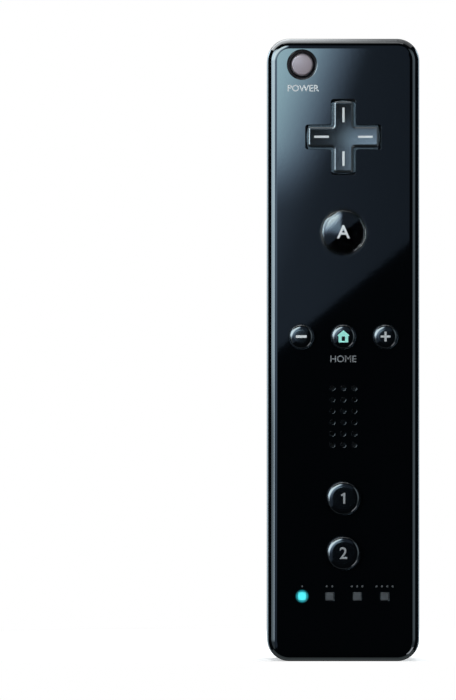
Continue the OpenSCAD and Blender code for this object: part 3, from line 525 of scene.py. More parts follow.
inner_depth = 1.3
rear_case.append(cad_patch("rear_shell", lambda c: (skin_depth(c.reshape(-1, 3)) > inner_depth)
                           .reshape(-1, 3).all(1)))
piece("rear_case", rear_case, satin, "body", "rear_shell")

# EXPANSION SOCKET
# A white nylon housing snapped into the base, with six gold-plated springs on its tongue.
# The housing is injection moulded and keeps the faint waviness of thick nylon; the springs are stamped.


def dress(material, *cad_nodes):
    """Gives CAD nodes a finish."""
    for name in cad_nodes:
        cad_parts[name].material_slots[0].material = material


def metal(name, colour, rough, grain, grain_mm):
    """A bare metal finish."""
    return finish(name, colour, rough, grain, grain_mm, Metallic=1.0)


nylon = finish("socket_nylon", (0.72, 0.71, 0.67), 0.42, grain=0.15, grain_mm=0.5, drift=0.05)
dress(nylon, "expansion_port")
dress(metal("contact_gold_plate", (0.83, 0.60, 0.27), 0.24, 0.1, 0.2), "port_contacts")

# BATTERY CONTACTS
# Strips of nickel-plated steel stand at the tub's ends, and conical springs press on the cells' flat ends.
# The strips are stamped, and the springs are wound from hard wire.
nickel = metal("nickel_plate", (0.66, 0.63, 0.58), 0.24, 0.12, 0.25)
dress(nickel, "lower_contact_plate", "upper_contact_plates")
cell_x, cell_y = 7.225, face_y + 21.25


def square_to(axis):
    """An axis as an array, and two directions square to it and to each other."""
    axis = np.array(axis, float)
    e1 = np.roll(axis, 1)
    return axis, e1, np.cross(axis, e1)


def coil(at, axis, r0, r1, rise, turns, thick, n=10):
    """A wire wound about an axis: its middle goes round at a radius that runs evenly from r0 to r1 while it
    climbs by the rise, with a circle of the wire's thickness square to the winding and flat ends."""
    a = line(0, 2 * np.pi * turns, 28 * turns + 1)
    share = (a / a[-1])[:, None]
    axis, e1, e2 = square_to(axis)
    out = np.cos(a)[:, None] * e1 + np.sin(a)[:, None] * e2
    mid = np.array(at) + (r0 + (r1 - r0) * share) * out + rise * share * axis
    t = unit(np.gradient(mid, axis=0))
    k = angles(n)[:, None]
    normal = np.cos(k) * out[:, None] + np.sin(k) * np.cross(t, out)[:, None]
    p = mid[:, None] + thick / 2 * normal
    ends = [strip(np.stack([np.tile(mid[i], (n, 1)), p[i]]), np.tile(s * t[i], (2, n, 1)))
            for i, s in ((0, -1), (-1, 1))]
    return [strip(p, normal), *ends]


cone_wide, cone_narrow, cone_tall, cone_turns, cone_wire = 4.75, 2.35, 4.8, 4, 0.7
for name, x, z, up in (("lower", -cell_x, 26.75, 1), ("upper", cell_x, 82.15, -1)):
    wound = coil((x, cell_y, z), (0, 0, up), cone_wide, cone_narrow, cone_tall, cone_turns, cone_wire)
    piece(name + "_cone_spring", wound, nickel, "body", name + "_contact_spring")

# BATTERY CELLS
# Two AA cells: a drawn steel can with a pressed button, in a printed film sleeve shrunk over its shoulders.
# Each carries a plus and a minus mark at its ends and a pale band below the button.
cell_r, band_low, band_top = 7.1, 38.5, 44.5
mark_proud = 0.025


def turned(runs, at, axis, n=48):
    """Turns a profile of radius and height about an axis: the radius times the angle's cosine and sine along
    two square directions, plus the height along the axis. Normals stand square to it; runs meet sharply."""
    axis, e1, e2 = square_to(axis)
    a = angles(n)[:, None]
    out = np.cos(a) * e1 + np.sin(a) * e2
    patches = []
    for rows in runs:
        rows = np.asarray(rows, float)
        t = unit(np.gradient(rows, axis=0))[:, :, None, None]
        rows = rows[:, :, None, None]
        p = np.array(at) + rows[:, 0] * out + rows[:, 1] * axis
        patches.append(strip(p, t[:, 1] * out - t[:, 0] * axis))
    return patches


def numbered(patches, k):
    """Patches with the number of their finish."""
    return [(*a[:3], k) for a in patches]


def lifted(place, h):
    """The same surface moved out along its normals by h."""
    def moved(q):
        p, n = place(q)
        return p + n * h, n
    return moved


def mark(place, *loops):
    """A printed mark: the area inside the first loop and outside the others, slightly proud, with edges."""
    patches = [fill(lifted(place, mark_proud), [l[0] for l in loops], 0.35)]
    for i, l in enumerate(loops):
        patches += rim(place, l, [[(0, -mark_proud), (0, 0.03)]], i > 0)
    return patches


def cross_loop(x, z, reach, arm, r, steps=4):
    """A cross with four equal arms, drawn corner by corner, with rounded corners."""
    h, k = arm / 2, reach / 2
    corners = [(k, -h), (k, h), (h, h), (h, k), (-h, k), (-h, h),
               (-k, h), (-k, -h), (-h, -h), (-h, -k), (h, -k), (h, -h)]
    return rounded(np.array(corners) + [x, z], r, steps)


sleeve = finish("cell_sleeve_film", (0.035, 0.040, 0.046), 0.3, grain=0.05, grain_mm=0.6)
can = metal("cell_can_steel", (0.60, 0.59, 0.57), 0.3, 0.1, 0.3)
band = finish("cell_band_print", (0.52, 0.55, 0.57), 0.35, grain=0.05, grain_mm=0.6)
flat_end = [(0, 0.12), (4.4, 0.12), (4.9, 0), (5.4, 0.12), (6.1, 0.3)]
button_end = [(6.2, 49.0), (5.7, 48.85), (3.6, 48.8), (3.1, 48.9), (2.75, 49.2), (2.7, 49.5), (2.7, 50.1),
              (2.6, 50.35), (2.3, 50.48), (0, 50.5)]
film_low = [(6.1, 0.22), (6.6, 0.3), (6.95, 0.6), (cell_r, 1.1), (cell_r, band_low)]
film_top = [(cell_r, band_top), (cell_r, 48.2), (6.95, 48.7), (6.6, 49.0), (6.2, 49.1)]
for name, x, z, up in (("left", -cell_x, 31.95, 1), ("right", cell_x, 76.95, -1)):
    cell_at = np.array([x, cell_y, z])

    def on_cell(q):
        """The cell's wall towards the cover: the way round from the back, and the height along it."""
        a = q[:, 0] / cell_r * up
        n = columns(np.sin(a), np.cos(a), 0)
        return cell_at + cell_r * n + np.outer(q[:, 1] * up, upwards), n

    def spun(*runs):
        """A profile turned about the cell's axis."""
        return turned(runs, cell_at, (0, 0, up), 64)
    film = spun([(6.1, 0.3), (6.1, 0.22)], film_low, film_top, [(6.2, 49.1), (6.2, 49.0)])
    stripe = spun([(cell_r, band_low), (cell_r, band_top)])
    plus_sign, minus_sign = cross_loop(0, 33.5, 3.6, 0.9, 0.1), box_loop(-1.8, 1.8, 5.05, 5.95, 0.1, 3)
    signs = mark(on_cell, plus_sign) + mark(on_cell, minus_sign)
    piece(name + "_cell", film + numbered(spun(flat_end, button_end), 1) + numbered(stripe + signs, 2),
          [sleeve, can, band], "body", "aa_cell_" + name)

# MAIN BOARD
# A fibreglass board with green solder mask over copper tracks, screwed between the two shells.
# Chips, a tinned radio can, the motion sensor's board, the camera and the switches are soldered to its back.
board = finish("solder_mask_green", (0.012, 0.075, 0.035), 0.35, grain=0.1, grain_mm=0.3)
tree = board.node_tree
tracks = node(tree, "TexVoronoi", how="DISTANCE_TO_EDGE", Scale=420,
              Vector=tree.nodes["Texture Coordinate"].outputs["Object"])["Distance"]
copper = node(tree, "Mix", how="RGBA", Factor=node(tree, "MapRange", tracks, 0.05, 0.09, 1, 0)["Result"],
              A=tree.nodes["Mix"].outputs["Result"], B=(0.05, 0.16, 0.06, 1))["Result"]
wire(tree.nodes["Principled BSDF"], Base_Color=copper)
dress(board, "main_board", "motion_board")
dress(finish("chip_resin", (0.018, 0.018, 0.020), 0.5, grain=0.3, grain_mm=0.12), "board_chips", "ir_camera",
      "trigger_switch", "sync_switch")
dress(metal("tinned_can", (0.62, 0.62, 0.60), 0.3, 0.2, 0.6), "radio_shield")
dress(finish("lamp_resin", (0.78, 0.76, 0.66), 0.35, grain=0.05, grain_mm=0.4), "player_leds")

# RUMBLE MOTOR
# A drawn steel can in two ribs of the rear shell, with a half-round sintered weight pressed on its shaft.
# The can is bright, the weight dull and slightly rough.
bright_steel = metal("drawn_steel", (0.58, 0.58, 0.57), 0.22, 0.1, 0.2)
dress(bright_steel, "rumble_motor")
dress(metal("sintered_weight", (0.30, 0.29, 0.28), 0.5, 0.4, 0.15), "rumble_weight")

# SPEAKER
# A small moving-coil speaker: a dark steel basket and a thin pressed cone with a dome in its middle.
# A ring of closed-cell foam seals it against the back of the face.
speaker_z = 58.2
speaker_at = (0, face_y, speaker_z)
bend = line(0, quarter, 8)
roll = columns(6.6 - 0.7 * np.cos(2 * bend), -3.0 + 0.35 * np.sin(2 * bend))
basket = sharp((0, -6.9), (8.6, -6.9), (8.6, -2.3), (7.5, -2.3), (7.4, -3.0))
diaphragm = [[(7.3, -3.0), *roll[::-1]], [(5.9, -3.0), (2.6, -4.0)],
             columns(2.6 * np.cos(bend), -4.0 + 0.7 * np.sin(bend))]
piece("speaker_unit", turned(basket + diaphragm, speaker_at, forwards, 56),
      finish("speaker_black", (0.030, 0.031, 0.033), 0.5, grain=0.3, grain_mm=0.25), "body", "speaker")
way_round = columns(np.cos(line(0, 2 * np.pi, 29)), np.sin(line(0, 2 * np.pi, 29)))
cushion = np.sign(way_round) * np.abs(way_round) ** 0.5 * [0.9, 0.24] + [7.75, -2.05]
piece("speaker_foam", turned([np.clip(cushion, (6.8, -2.3), (8.6, -1.8))], speaker_at, forwards, 56),
      finish("closed_cell_foam", (0.035, 0.035, 0.036), 0.95, grain=1.0, grain_mm=0.35), "body",
      "speaker_gasket")

# KEYPADS
# Three sheets of grey silicone rubber lie on the board; under each key a hollow dome carries a carbon pill.
# They are compression moulded, matt, and soft enough to follow the board.
rubber = finish("silicone_rubber", (0.105, 0.115, 0.122), 0.7, grain=0.25, grain_mm=0.2)
mat_front, mat_rear, mat_round = 4.8, 5.4, 0.15
dome_sunk = 0.1


def slab(loop, front, rear, r, holes=()):
    """A plate between two depths with holes, whose front rims are rounded by r."""
    face, thick = front_plane(front), rear - front
    patches = [fill(face, [grown(loop, -r), *[grown(h, r) for h in holes]]),
               fill(rear_plane(rear), [loop[0], *[h[0] for h in holes]]),
               *rim(face, loop, lipped(r, thick, False), False)]
    for h in holes:
        patches += rim(face, h, lipped(r, thick))
    return patches


def keypad(name, sheet, holes, cad_node):
    """A sheet of rubber."""
    piece(name, slab(sheet, mat_front, mat_rear, mat_round, holes), rubber, "body", cad_node)


def domes(name, places, r, tall, cad_node):
    """Turned domes on a sheet with sides on half a cosine, in a piece that is then given its own copy of its
    mesh.
    """
    k, top = line(0, 1, 9), tall - mat_front
    side = columns(r - 0.25 * r * k, (tall - 0.1) * (1 - np.cos(np.pi * k)) / 2 - mat_front)
    base = -mat_front - dome_sunk
    runs = sharp((0, base), (r, base), (r, -mat_front))
    runs.append([*side, (0.6 * r, top - 0.03), (0.45 * r, top), (0, top)])
    patches = [a for x, z in places for a in turned(runs, (x, face_y, z), forwards, 40)]
    soft = piece(name, patches, rubber, "body", cad_node)
    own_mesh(soft)


pad_z, a_z, row_z, row_x, one_z, two_z = 124.6, 102.0, 77.2, 10.0, 38.8, 25.8
power_x, power_z = -9.8, 141.8
key_dome, key_keep = 2.2, 0.57
pad_dome_off, pad_dome_r, pad_dome, pad_keep = 6.1, 1.53, 1.2, 0.4
upper_sheet = rounded([(-15.9, 95.35), (15.9, 95.35), (15.9, 144.6), (-15.9, 144.6)], [0.5, 0.5, 2.4, 2.4])
upper_holes = [circle(-screw_x, screw_z, 2.6), circle(screw_x, screw_z, 2.6), circle(0, pad_z, 2.5)]
keypad("upper_rubber", upper_sheet, upper_holes, "upper_keypad")
domes("power_dome", [(power_x, power_z)], 1.75, key_dome, "upper_keypad")
domes("large_dome", [(0, a_z)], 3.8, key_dome, "upper_keypad")
domes("pad_domes_up_down", [(0, pad_z - pad_dome_off), (0, pad_z + pad_dome_off)], pad_dome_r, pad_dome,
      "upper_keypad")
domes("pad_domes_left_right", [(-pad_dome_off, pad_z), (pad_dome_off, pad_z)], pad_dome_r, pad_dome,
      "upper_keypad")
keypad("middle_rubber", box_loop(-14, 14, 73.2, 81.2, 1.2), [], "middle_keypad")
for name, x in (("minus", -row_x), ("home", 0), ("plus", row_x)):
    domes(name + "_dome", [(x, row_z)], 1.96, key_dome, "middle_keypad")
keypad("lower_rubber", box_loop(-5.05, 5.05, 21.35, 43.25, 1.2), [], "lower_keypad")
for name, z in (("one", one_z), ("two", two_z)):
    domes(name + "_dome", [(0, z)], 2.7, key_dome, "lower_keypad")

# FACE KEYS
# Five round keys in gloss black ABS stand through the face, each held behind it by a flange on its own dome.
# They are moulded with a rounded rim and a slight crown, polished like the face, and pad printed.
flange_rear, flange_front, flange_w = -2.55, -1.85, 0.8


def flange(r, w):
    """The runs of a key's flange behind the face, out to the radius w and back to the key's wall at r."""
    return sharp((0, flange_rear), (w, flange_rear), (w, flange_front), (r, flange_front))


def cap(x, z, r, rise, rim_w, rim_h, crown):
    """A round key: a flange, a wall, a rim that is a quarter of an ellipse and a crown that falls with the
    square of the radius."""
    a, k, top = line(0, quarter, 15), line(1, 0, 9)[1:], rise - crown
    skin = [(r, flange_front), (r, top - rim_h - 0.3),
            *columns(r - rim_w * (1 - np.cos(a)), top - rim_h * (1 - np.sin(a))),
            *columns((r - rim_w) * k, rise - crown * k * k)]
    return turned([*flange(r, r + flange_w), skin], (x, face_y, z), forwards, 64)


def on_cap(x, z, rise, crown, reach):
    """The crown of a key, as a height over width and height on the face."""
    def place(q):
        s = ((q - [x, z]) ** 2).sum(1) / reach ** 2
        return columns(q[:, 0], face_y - rise + crown * s, q[:, 1]), np.tile([0.0, -1, 0], (len(q), 1))
    return place


def word(text, tall, x, z, place, halvings=0, bold=0.0):
    """A word as thin plates: the letters' own triangles, centred on their box, scaled to be so tall,
    split in four as often as a curved surface needs, and laid on it."""
    curve = bpy.data.curves.new("word", "FONT")
    curve.body, curve.extrude, curve.resolution_u, curve.offset = text, 0.01, 4, bold
    shaped = bpy.data.objects.new("word", curve)
    mesh = bpy.data.meshes.new_from_object(shaped)
    c = corners_of(mesh)
    bpy.data.objects.remove(shaped)
    bpy.data.curves.remove(curve)
    bpy.data.meshes.remove(mesh)
    lo, hi = c.min((0, 1)), c.max((0, 1))
    scale = tall / (hi - lo)[1]
    c = (c - (lo + hi) / 2) * [scale, scale, 2.5]
    for _ in range(halvings):
        m = (c + np.roll(c, -1, 1)) / 2
        outer_three = (c[:, 0], m[:, 0], m[:, 2]), (m[:, 0], c[:, 1], m[:, 1]), (m[:, 2], m[:, 1], c[:, 2])
        c = np.concatenate([*[np.stack(t, 1) for t in outer_three], m])
    p, n = place(c[:, :, :2].reshape(-1, 2) + [x, z])
    return [facets((p + n * c[:, :, 2:].reshape(-1, 1)).reshape(-1, 3, 3))]


def ink(name, colour, level=0.25):
    """Pad print: matt, with a fine tooth."""
    return finish("pad_print_" + name, colour, 0.5, grain=0.1, grain_mm=0.1, drift=0.06,
                  Specular_IOR_Level=level)


key_black = finish("polished_key_black", (0.0022, 0.003, 0.004), 0.08, grain=0.02, grain_mm=0.5)
print_white = ink("white", (0.72, 0.75, 0.76))
print_mid = ink("mid", (0.45, 0.47, 0.48))
print_grey = ink("grey", (0.25, 0.26, 0.27))
print_mint = ink("mint", (0.36, 0.90, 0.78))
key_rim_w, key_rim_h, key_crown = 1.3, 0.55, 0.006
small_r, small_rise, number_r, number_rise = 2.8, 1.2, 3.85, 1.5


def round_key(name, x, z, r, rise, drawn, printed):
    """A key with what is drawn on its crown."""
    made = cap(x, z, r, rise, key_rim_w, key_rim_h, key_crown)
    sign = drawn(on_cap(x, z, rise, key_crown, r - key_rim_w))
    piece(name + "_cap", made + numbered(sign, 1), [key_black, printed], name + "_key", name + "_button")


minus_bar = box_loop(-row_x - 1.3, -row_x + 1.3, row_z - 0.3, row_z + 0.3, 0.1, 3)
round_key("minus", -row_x, row_z, small_r, small_rise, lambda p: mark(p, minus_bar), print_white)
plus_bars = cross_loop(row_x, row_z, 2.35, 0.52, 0.08)
round_key("plus", row_x, row_z, small_r, small_rise, lambda p: mark(p, plus_bars), print_mid)
house = [(-1.15, -1.4), (1.15, -1.4), (1.15, 0.15), (1.6, 0.15), (0, 1.5), (-1.6, 0.15), (-1.15, 0.15)]
house = rounded(np.array(house) + [0, row_z], 0.12, 3)
door = box_loop(-0.4, 0.4, row_z - 1.05, row_z + 0.05, 0.12, 3)
round_key("home", 0, row_z, small_r, small_rise, lambda p: mark(p, house, door), print_mint)
figure = [(-0.05, -1.3), (0.42, -1.3), (0.42, 1.3), (0.08, 1.3), (-0.62, 0.8), (-0.4, 0.45), (-0.05, 0.7)]
figure = rounded(np.array(figure) + [0, one_z], 0.06, 3)
round_key("one", 0, one_z, number_r, number_rise, lambda p: mark(p, figure), print_grey)
round_key("two", 0, two_z, number_r, number_rise, lambda p: word("2", 2.8, 0, two_z, p, 1, 0.012), print_grey)

# POWER KEY
# A small cap of smoky translucent plastic, sunk in a dish in the face.
# It is moulded with a soft rim and slightly frosted.
smoky = finish("smoky_key_plastic", (0.33, 0.27, 0.30), 0.38, grain=0.25, grain_mm=0.25, drift=0.16)
piece("power_cap", cap(power_x, power_z, 2.5, -0.3, 0.4, 0.4, 0.12), smoky, "power_key", "power_button")

# LARGE KEY
# A clear acrylic dome welded to a black seat whose flange lies behind the face.
# The dome is polished, and its letter is pad printed on the crown.
a_at = (0, face_y, a_z)
dome_top, dome_fall, dome_reach, dome_side = 1.85, 0.55, 4.45, 5.45
share = line(1, 0, 14)
bulge = columns(dome_reach * share, dome_top - dome_fall * share * share)
shoulder = bow(dome_reach, 0.3, 1, 0, quarter, 12)[:-1]
dome = turned([*sharp((0, -0.3), (5.3, -0.3), (dome_side, -0.15)),
               [(dome_side, -0.15), (dome_side, 0.1), *shoulder, *bulge]], a_at, forwards, 96)
clear = finish("clear_acrylic", (0.96, 0.98, 0.98), 0.02, grain=0.01, grain_mm=1.0, drift=0.02,
               Transmission_Weight=1.0, IOR=1.49)
piece("large_key_dome", dome, clear, "a_key", "a_button")
seat_r, seat_w = 5.4, 6.25
seat_skin = [(seat_r, flange_front), (seat_r, -0.5), (5.3, -0.4), (5.1, -0.36), (0, -0.36)]
seat = turned([*flange(seat_r, seat_w), seat_skin], a_at, forwards, 64)
piece("large_key_seat", seat, key_black, "a_key")
letter = word("A", 3.1, 0, a_z + 0.05, on_cap(0, a_z, dome_top, dome_fall, dome_reach), 2, 0.015)
piece("large_key_letter", letter, print_white, "a_key")

# DIRECTION PAD
# One cross moulded in black ABS with a dished top, on a round flange that rocks on a steel ball on the board.
# Its top is finely etched, its edges are polished by handling, and a short line is printed on each arm.
pad_loop = cross_loop(0, pad_z, 16.8, 4.6, 0.55, 6)
pad_rise, pad_round, dish_r = 2.2, 0.5, 70.56
pad_flange, pad_back, pad_flange_r = 3.07, 3.42, 8.7
ball_r, ball_d, stem_r = 0.95, 4.45, 2.1


def on_pad(q):
    """The dished top: the hollow of a large sphere that leaves the arms' ends at full height."""
    x, z = q[:, 0], q[:, 1] - pad_z
    fall = np.sqrt(dish_r ** 2 - x * x - z * z)
    return columns(x, face_y - pad_rise - (dish_r - 0.5 - fall), q[:, 1]), unit(columns(-x, -fall, -z))


def pad_side(q):
    """The dished top with normals straight forwards, for the rim."""
    return on_pad(q)[0], np.tile([0.0, -1, 0], (len(q), 1))


pad_edge = pad_loop[0]
wall_top = pad_side(pad_edge)[0] + [0, pad_round, 0]
wall_foot = front_plane(pad_flange)(pad_edge)[0]
wall_out = columns(pad_loop[1][:, 0], 0, pad_loop[1][:, 1])
socket = bow(0, -ball_d, ball_r, quarter, 0, 9)
pad = [fill(on_pad, [grown(pad_loop, -pad_round)], 0.6),
       *rim(pad_side, pad_loop, [edge(pad_round, False, 8)], False),
       strip(np.stack([wall_top, wall_foot]), np.stack([wall_out, wall_out])),
       fill(front_plane(pad_flange), [circle(0, pad_z, pad_flange_r, 72)[0], pad_edge])]
pad += turned([*sharp((ball_r, -ball_d), (stem_r, -ball_d), (stem_r, -pad_back), (pad_flange_r, -pad_back),
                      (pad_flange_r, -pad_flange)), socket], (0, face_y, pad_z), forwards, 72)
arm_line = 0.26
for s in (1, -1):
    start, stop = sorted((s * 3.45, s * 6.95))
    for l in (box_loop(start, stop, pad_z - arm_line, pad_z + arm_line, 0.1, 3),
              box_loop(-arm_line, arm_line, pad_z + start, pad_z + stop, 0.1, 3)):
        pad += numbered(mark(on_pad, l), 1)
etched = finish("etched_key_black", (0.012, 0.015, 0.018), 0.17, grain=0.12, grain_mm=0.15,
                Specular_IOR_Level=0.75)
piece("direction_pad", pad, [etched, print_white], "pad", "dpad")
dress(bright_steel, "dpad_pivot")

# LAMP WINDOWS
# Four square posts on one bar of frosted clear acrylic carry the light of four lamps to the face.
# The first lamp is on: its post glows blue-green.
lamp_x, lamp_z = [-9.8, -3.267, 3.267, 9.8], 15.5


def acrylic(name, colour, **sockets):
    """Frosted acrylic, which mirrors little."""
    return finish(name, colour, 0.45, grain=0.3, grain_mm=0.15, Specular_IOR_Level=0.2, **sockets)


def ramp(value, start, end, low, high):
    """A number that goes smoothly from low to high while a value goes from start to end."""
    return node(value.id_data, "MapRange", value, start, end, low, high, how="SMOOTHSTEP")["Result"]


def lamp_light_and_painted_halo(material, start, end, high, low):
    """Emission falling from high to low between two distances from the first lamp, seen from the front; on
    the face it is a painted halo of the lamp's light.
    """
    tree = material.node_tree
    where = tree.nodes["Texture Coordinate"].outputs["Object"]
    across = node(tree, "VectorMath", where, (1, 0, 1), how="MULTIPLY")["Vector"]
    way = node(tree, "VectorMath", across, (lamp_x[0] / 1000, 0, lamp_z / 1000), how="DISTANCE")["Value"]
    wire(tree.nodes["Principled BSDF"], Emission_Strength=ramp(way, start, end, high, low))


def lamp_box(x, reach, r):
    """A square with rounded corners about a lamp's middle."""
    return box_loop(x - reach, x + reach, lamp_z - reach, lamp_z + reach, r, 4)


frosted = acrylic("frosted_acrylic", (0.042, 0.043, 0.045))
lit = acrylic("lit_acrylic", (0.01, 0.06, 0.07), Emission_Color=(0.07, 0.82, 0.88, 1))
lamp_light_and_painted_halo(lit, 0.0007, 0.0016, 1.05, 0.1)
guide = []
for i, x in enumerate(lamp_x):
    guide += numbered(slab(lamp_box(x, 0.95, 0.2), 0.05, 4.1, 0.12), int(i == 0))
guide += slab(box_loop(-11.7, 11.7, lamp_z - 1.9, lamp_z + 1.9, 0.4, 4), 1.85, 2.55, 0.1)
piece("lamp_windows", guide, [frosted, lit], "body", "lamp_lenses")

# FRONT SHELL
# The face: one moulding in black ABS from a mirror-polished tool, with openings for keys, lamps and sound.
# Fine wiping marks barely break its gloss. Two keys' words and dots that number the lamps are pad printed.
# Painted light: the black face itself glows blue-green round the first lamp, a painted halo of that lamp's
# light.
gloss = finish("mirror_black_abs_painted_lamp_halo", (0.0012, 0.0018, 0.0025), 0.018, grain=0.004, grain_mm=1.2,
               Emission_Color=(0.05, 0.8, 0.95, 1))
lamp_light_and_painted_halo(gloss, 0.0009, 0.0017, 0.55, 0)
print_faint = ink("faint", (0.15, 0.155, 0.16), 0.2)
print_dim = ink("dim", (0.045, 0.046, 0.047), 0.15)
face, inner_face = front_plane(0), rear_plane(wall)
face_round, key_round, seam_round, dish_wide = 2.4, 0.07, 0.2, 0.95
keyholes = [circle(0, a_z, 5.65, 72), circle(0, one_z, 4.05, 64), circle(0, two_z, 4.05, 64),
            *[circle(x, row_z, 3.0, 56) for x in (-row_x, 0, row_x)], cross_loop(0, pad_z, 18.0, 5.8, 0.6, 6)]
small = [lamp_box(x, 1.05, 0.15) for x in lamp_x]
small += [circle(2.6 * i, speaker_z + 2.7 * j, 0.6, 20) for i in (-1, 0, 1) for j in np.arange(-2.5, 3)]
holes = keyholes + small
dish = circle(power_x, power_z, 2.7, 56)
front_case = [fill(face, [grown(outline, -face_round), grown(dish, dish_wide),
                          *[grown(h, key_round) for h in holes]]),
              fill(inner_face, [grown(outline, -wall), dish[0], *[h[0] for h in holes]])]
gap, gap_in = seam - 0.35, -0.5
turned_under = edge(seam_round, False, 4)[::-1] * [1, -1, 1, -1] + [0, gap, 0, 0]
front_case += rim(face, outline, [
    *lipped(face_round, gap - seam_round, False, 16), turned_under,
    *sharp((-seam_round, gap), (gap_in, gap), (gap_in, seam), (-wall, seam), (-wall, wall))], False)
for h in keyholes:
    front_case += rim(face, h, lipped(key_round, wall))
for h in small:
    front_case += rim(face, h, lipped(key_round, wall, steps=4))
dish_skin = [(dish_wide, 0), (0.85, 0.03), (0.78, 0.1), (0.1, 0.86), (0.02, 0.95), (0, 1.05)]
front_case += rim(face, dish, [dish_skin, [dish_skin[-1], (0, wall)]])
inside_x, inside_z = 15.5, 69
front_case.append(cad_patch("front_shell", lambda c: ((c[:, :, 1] - face_y).mean(1) > wall + 0.05)
                            & (np.abs(c[:, :, 0]) < inside_x).all(1)
                            & (np.abs(c[:, :, 2] - long / 2) < inside_z).all(1)))
dot_gap, dot_z, dot_r = 1.27, 17.85, 0.26
dots = [circle(x + dot_gap * (k - (n - 1) / 2), dot_z, dot_r, 14)
        for n, x in enumerate(lamp_x, 1) for k in range(n)]
front_case += numbered(word("HOME", 1.62, 0, 71.9, face, 0, 0.012), 1)
front_case += numbered([a for l in dots for a in mark(face, l)], 2)
front_case += numbered(word("POWER", 1.57, -9.5, 136.2, face, 0, 0.012), 3)
piece("front_case", front_case, [gloss, print_faint, print_dim, print_white], "body", "front_shell")

# NOSE WINDOW
# A slab of near-black acrylic that only infra-red light passes, held from inside by a lip.
# It is cast with polished faces; a trace of purple shows in strong light.
window = box_loop(-10, 10, 8.8, 16.8, 1.9, 10)
window_z, window_thick, window_round, lip_deep, lip_w = 147.9, 2.55, 0.35, 1.75, 0.8
window_top = flat((0, 1), window_z, upwards)
window_foot = flat((0, 1), window_z - window_thick, downwards)
window_runs = sharp((0, window_round), (0, lip_deep), (lip_w, lip_deep), (lip_w, window_thick))
filter_skin = [fill(window_top, [grown(window, -window_round)]), fill(window_foot, [grown(window, lip_w)]),
               *rim(window_top, window, [edge(window_round, False, 7), *window_runs], False)]
piece("nose_filter", filter_skin,
      finish("infra_red_acrylic", (0.010, 0.004, 0.009), 0.04, grain=0.01, grain_mm=1.0), "body", "ir_window")

# TRIGGER
# A hollow curved lever in the same satin ABS as the back, on a steel pin with a torsion spring beside it.
# Its finger face is scooped and its side edges are rounded over.
lever_half, lever_round = 10, 0.7
low_arc = bow(trigger_pin_d, trigger_pin_z, 19.1, np.arctan2(-19.02, 1.7), np.arctan2(-13.41, 13.6), 20)
scoop = bow(33.9, 123, 13.3, np.arctan2(-12.83, -3.5) + 2 * np.pi, np.arctan2(1.3, -13.24), 26)
lever = np.concatenate([low_arc, scoop, [(18.5, 124.3)]])
round_by = np.zeros(len(lever))
round_by[[len(low_arc) - 1, len(low_arc), -2]] = 0.9, 0.9, 0.8
lever_loop = rounded(lever, round_by, 6)
lever_skin = []
for s in (1, -1):
    lever_side = flat((1, 2), lever_half * s, (s, 0, 0))
    lever_skin.append(fill(lever_side, [grown(lever_loop, -lever_round)]))
    lever_skin += rim(lever_side, lever_loop, [edge(lever_round, False, 7)], False)
lever_skin += rim(flat((1, 2), lever_half, (1, 0, 0)), lever_loop,
                  [[(0, lever_round), (0, 2 * lever_half - lever_round)]], False)
piece("trigger_lever_skin", lever_skin, satin, "trigger_lever", "trigger")
dress(bright_steel, "trigger_pin")
torsion = coil((5.0, face_y + trigger_pin_d, trigger_pin_z), (1, 0, 0), 1.7, 1.7, 2.85, 3, 0.5)
piece("trigger_torsion_spring", torsion, nickel, "body", "trigger_spring")

# CASE SCREWS
# Four zinc-plated steel screws with pan heads and a cross recess hold the two shells together.
# Two sit in wells under the nose, two in the floor of the battery tub.
zinc = metal("zinc_plate", (0.50, 0.52, 0.55), 0.32, 0.15, 0.2)
tub_x, tub_z = 12, 19.6
head_d, head_under, head_r, shank_r, head_round, recess = 13.8, 12.7, 1.9, 0.9, 0.45, 0.6
pan = bow(head_r - head_round, head_d - head_round, head_round, 0, quarter, 8)
screw_runs = [[(0, 2.0), (0.5, 2.0), (shank_r, 2.5), (shank_r, head_under)],
              [(shank_r, head_under), (head_r, head_under)], [(head_r, head_under), (head_r, 13.35), *pan]]
screws = []
for x, z in ((-screw_x, screw_z), (screw_x, screw_z), (-tub_x, tub_z), (tub_x, tub_z)):
    drive = cross_loop(x, z, 2.0, 0.55, 0.06, 3)
    screws += [fill(rear_plane(head_d), [circle(x, z, head_r - head_round, 48)[0], drive[0]]),
               *rim(rear_plane(head_d), drive, [[(0, 0), (-0.08, recess)]]),
               fill(rear_plane(head_d - recess), [grown(drive, -0.08)]),
               *turned(screw_runs, (x, face_y, z), backwards, 48)]
piece("screws", screws, zinc, "body", "case_screws")

# SYNC KEY
# A small red key in the floor of the battery tub that pairs the wand, pressed through a hole by a fingertip.
# Moulded in one colour, with a rounded end.
sync_x, sync_r, sync_flange_r = 5, 1.9, 2.7
tip = bow(1.5, 13.12, 0.4, 0, quarter, 8)
sync_runs = sharp((0, 9.1), (sync_r, 9.1), (sync_r, 11.95), (sync_flange_r, 11.95), (sync_flange_r, 12.65),
                  (sync_r, 12.65)) + [[(sync_r, 12.65), (sync_r, 13.1), *tip, (0.8, 13.57), (0, 13.6)]]
piece("sync_cap", turned(sync_runs, (sync_x, face_y, tub_z), backwards, 40),
      finish("red_key_plastic", (0.50, 0.035, 0.028), 0.35, grain=0.1, grain_mm=0.3), "sync_key",
      "sync_button")

# BATTERY COVER
# The rest of the back: a thin curved lid in the same satin ABS, let in flush, that lifts off for the cells.
# A straight groove near its lower edge takes a thumbnail.
cover_thick, cover_round = 1.3, 0.18
thumb_low, thumb_high = 11.2, 13.6
thumb_across = line(-11.22, 11.22, 40)
thumb_floor = rear_plane(30.3)
thumb = np.concatenate([columns(thumb_across, thumb_low), columns(thumb_across[::-1], thumb_high)])


def under_cover(q):
    """The cover's inside: the skin moved in by the cover's thickness, facing inwards."""
    p, n = back(q)
    return p - cover_thick * n, -n


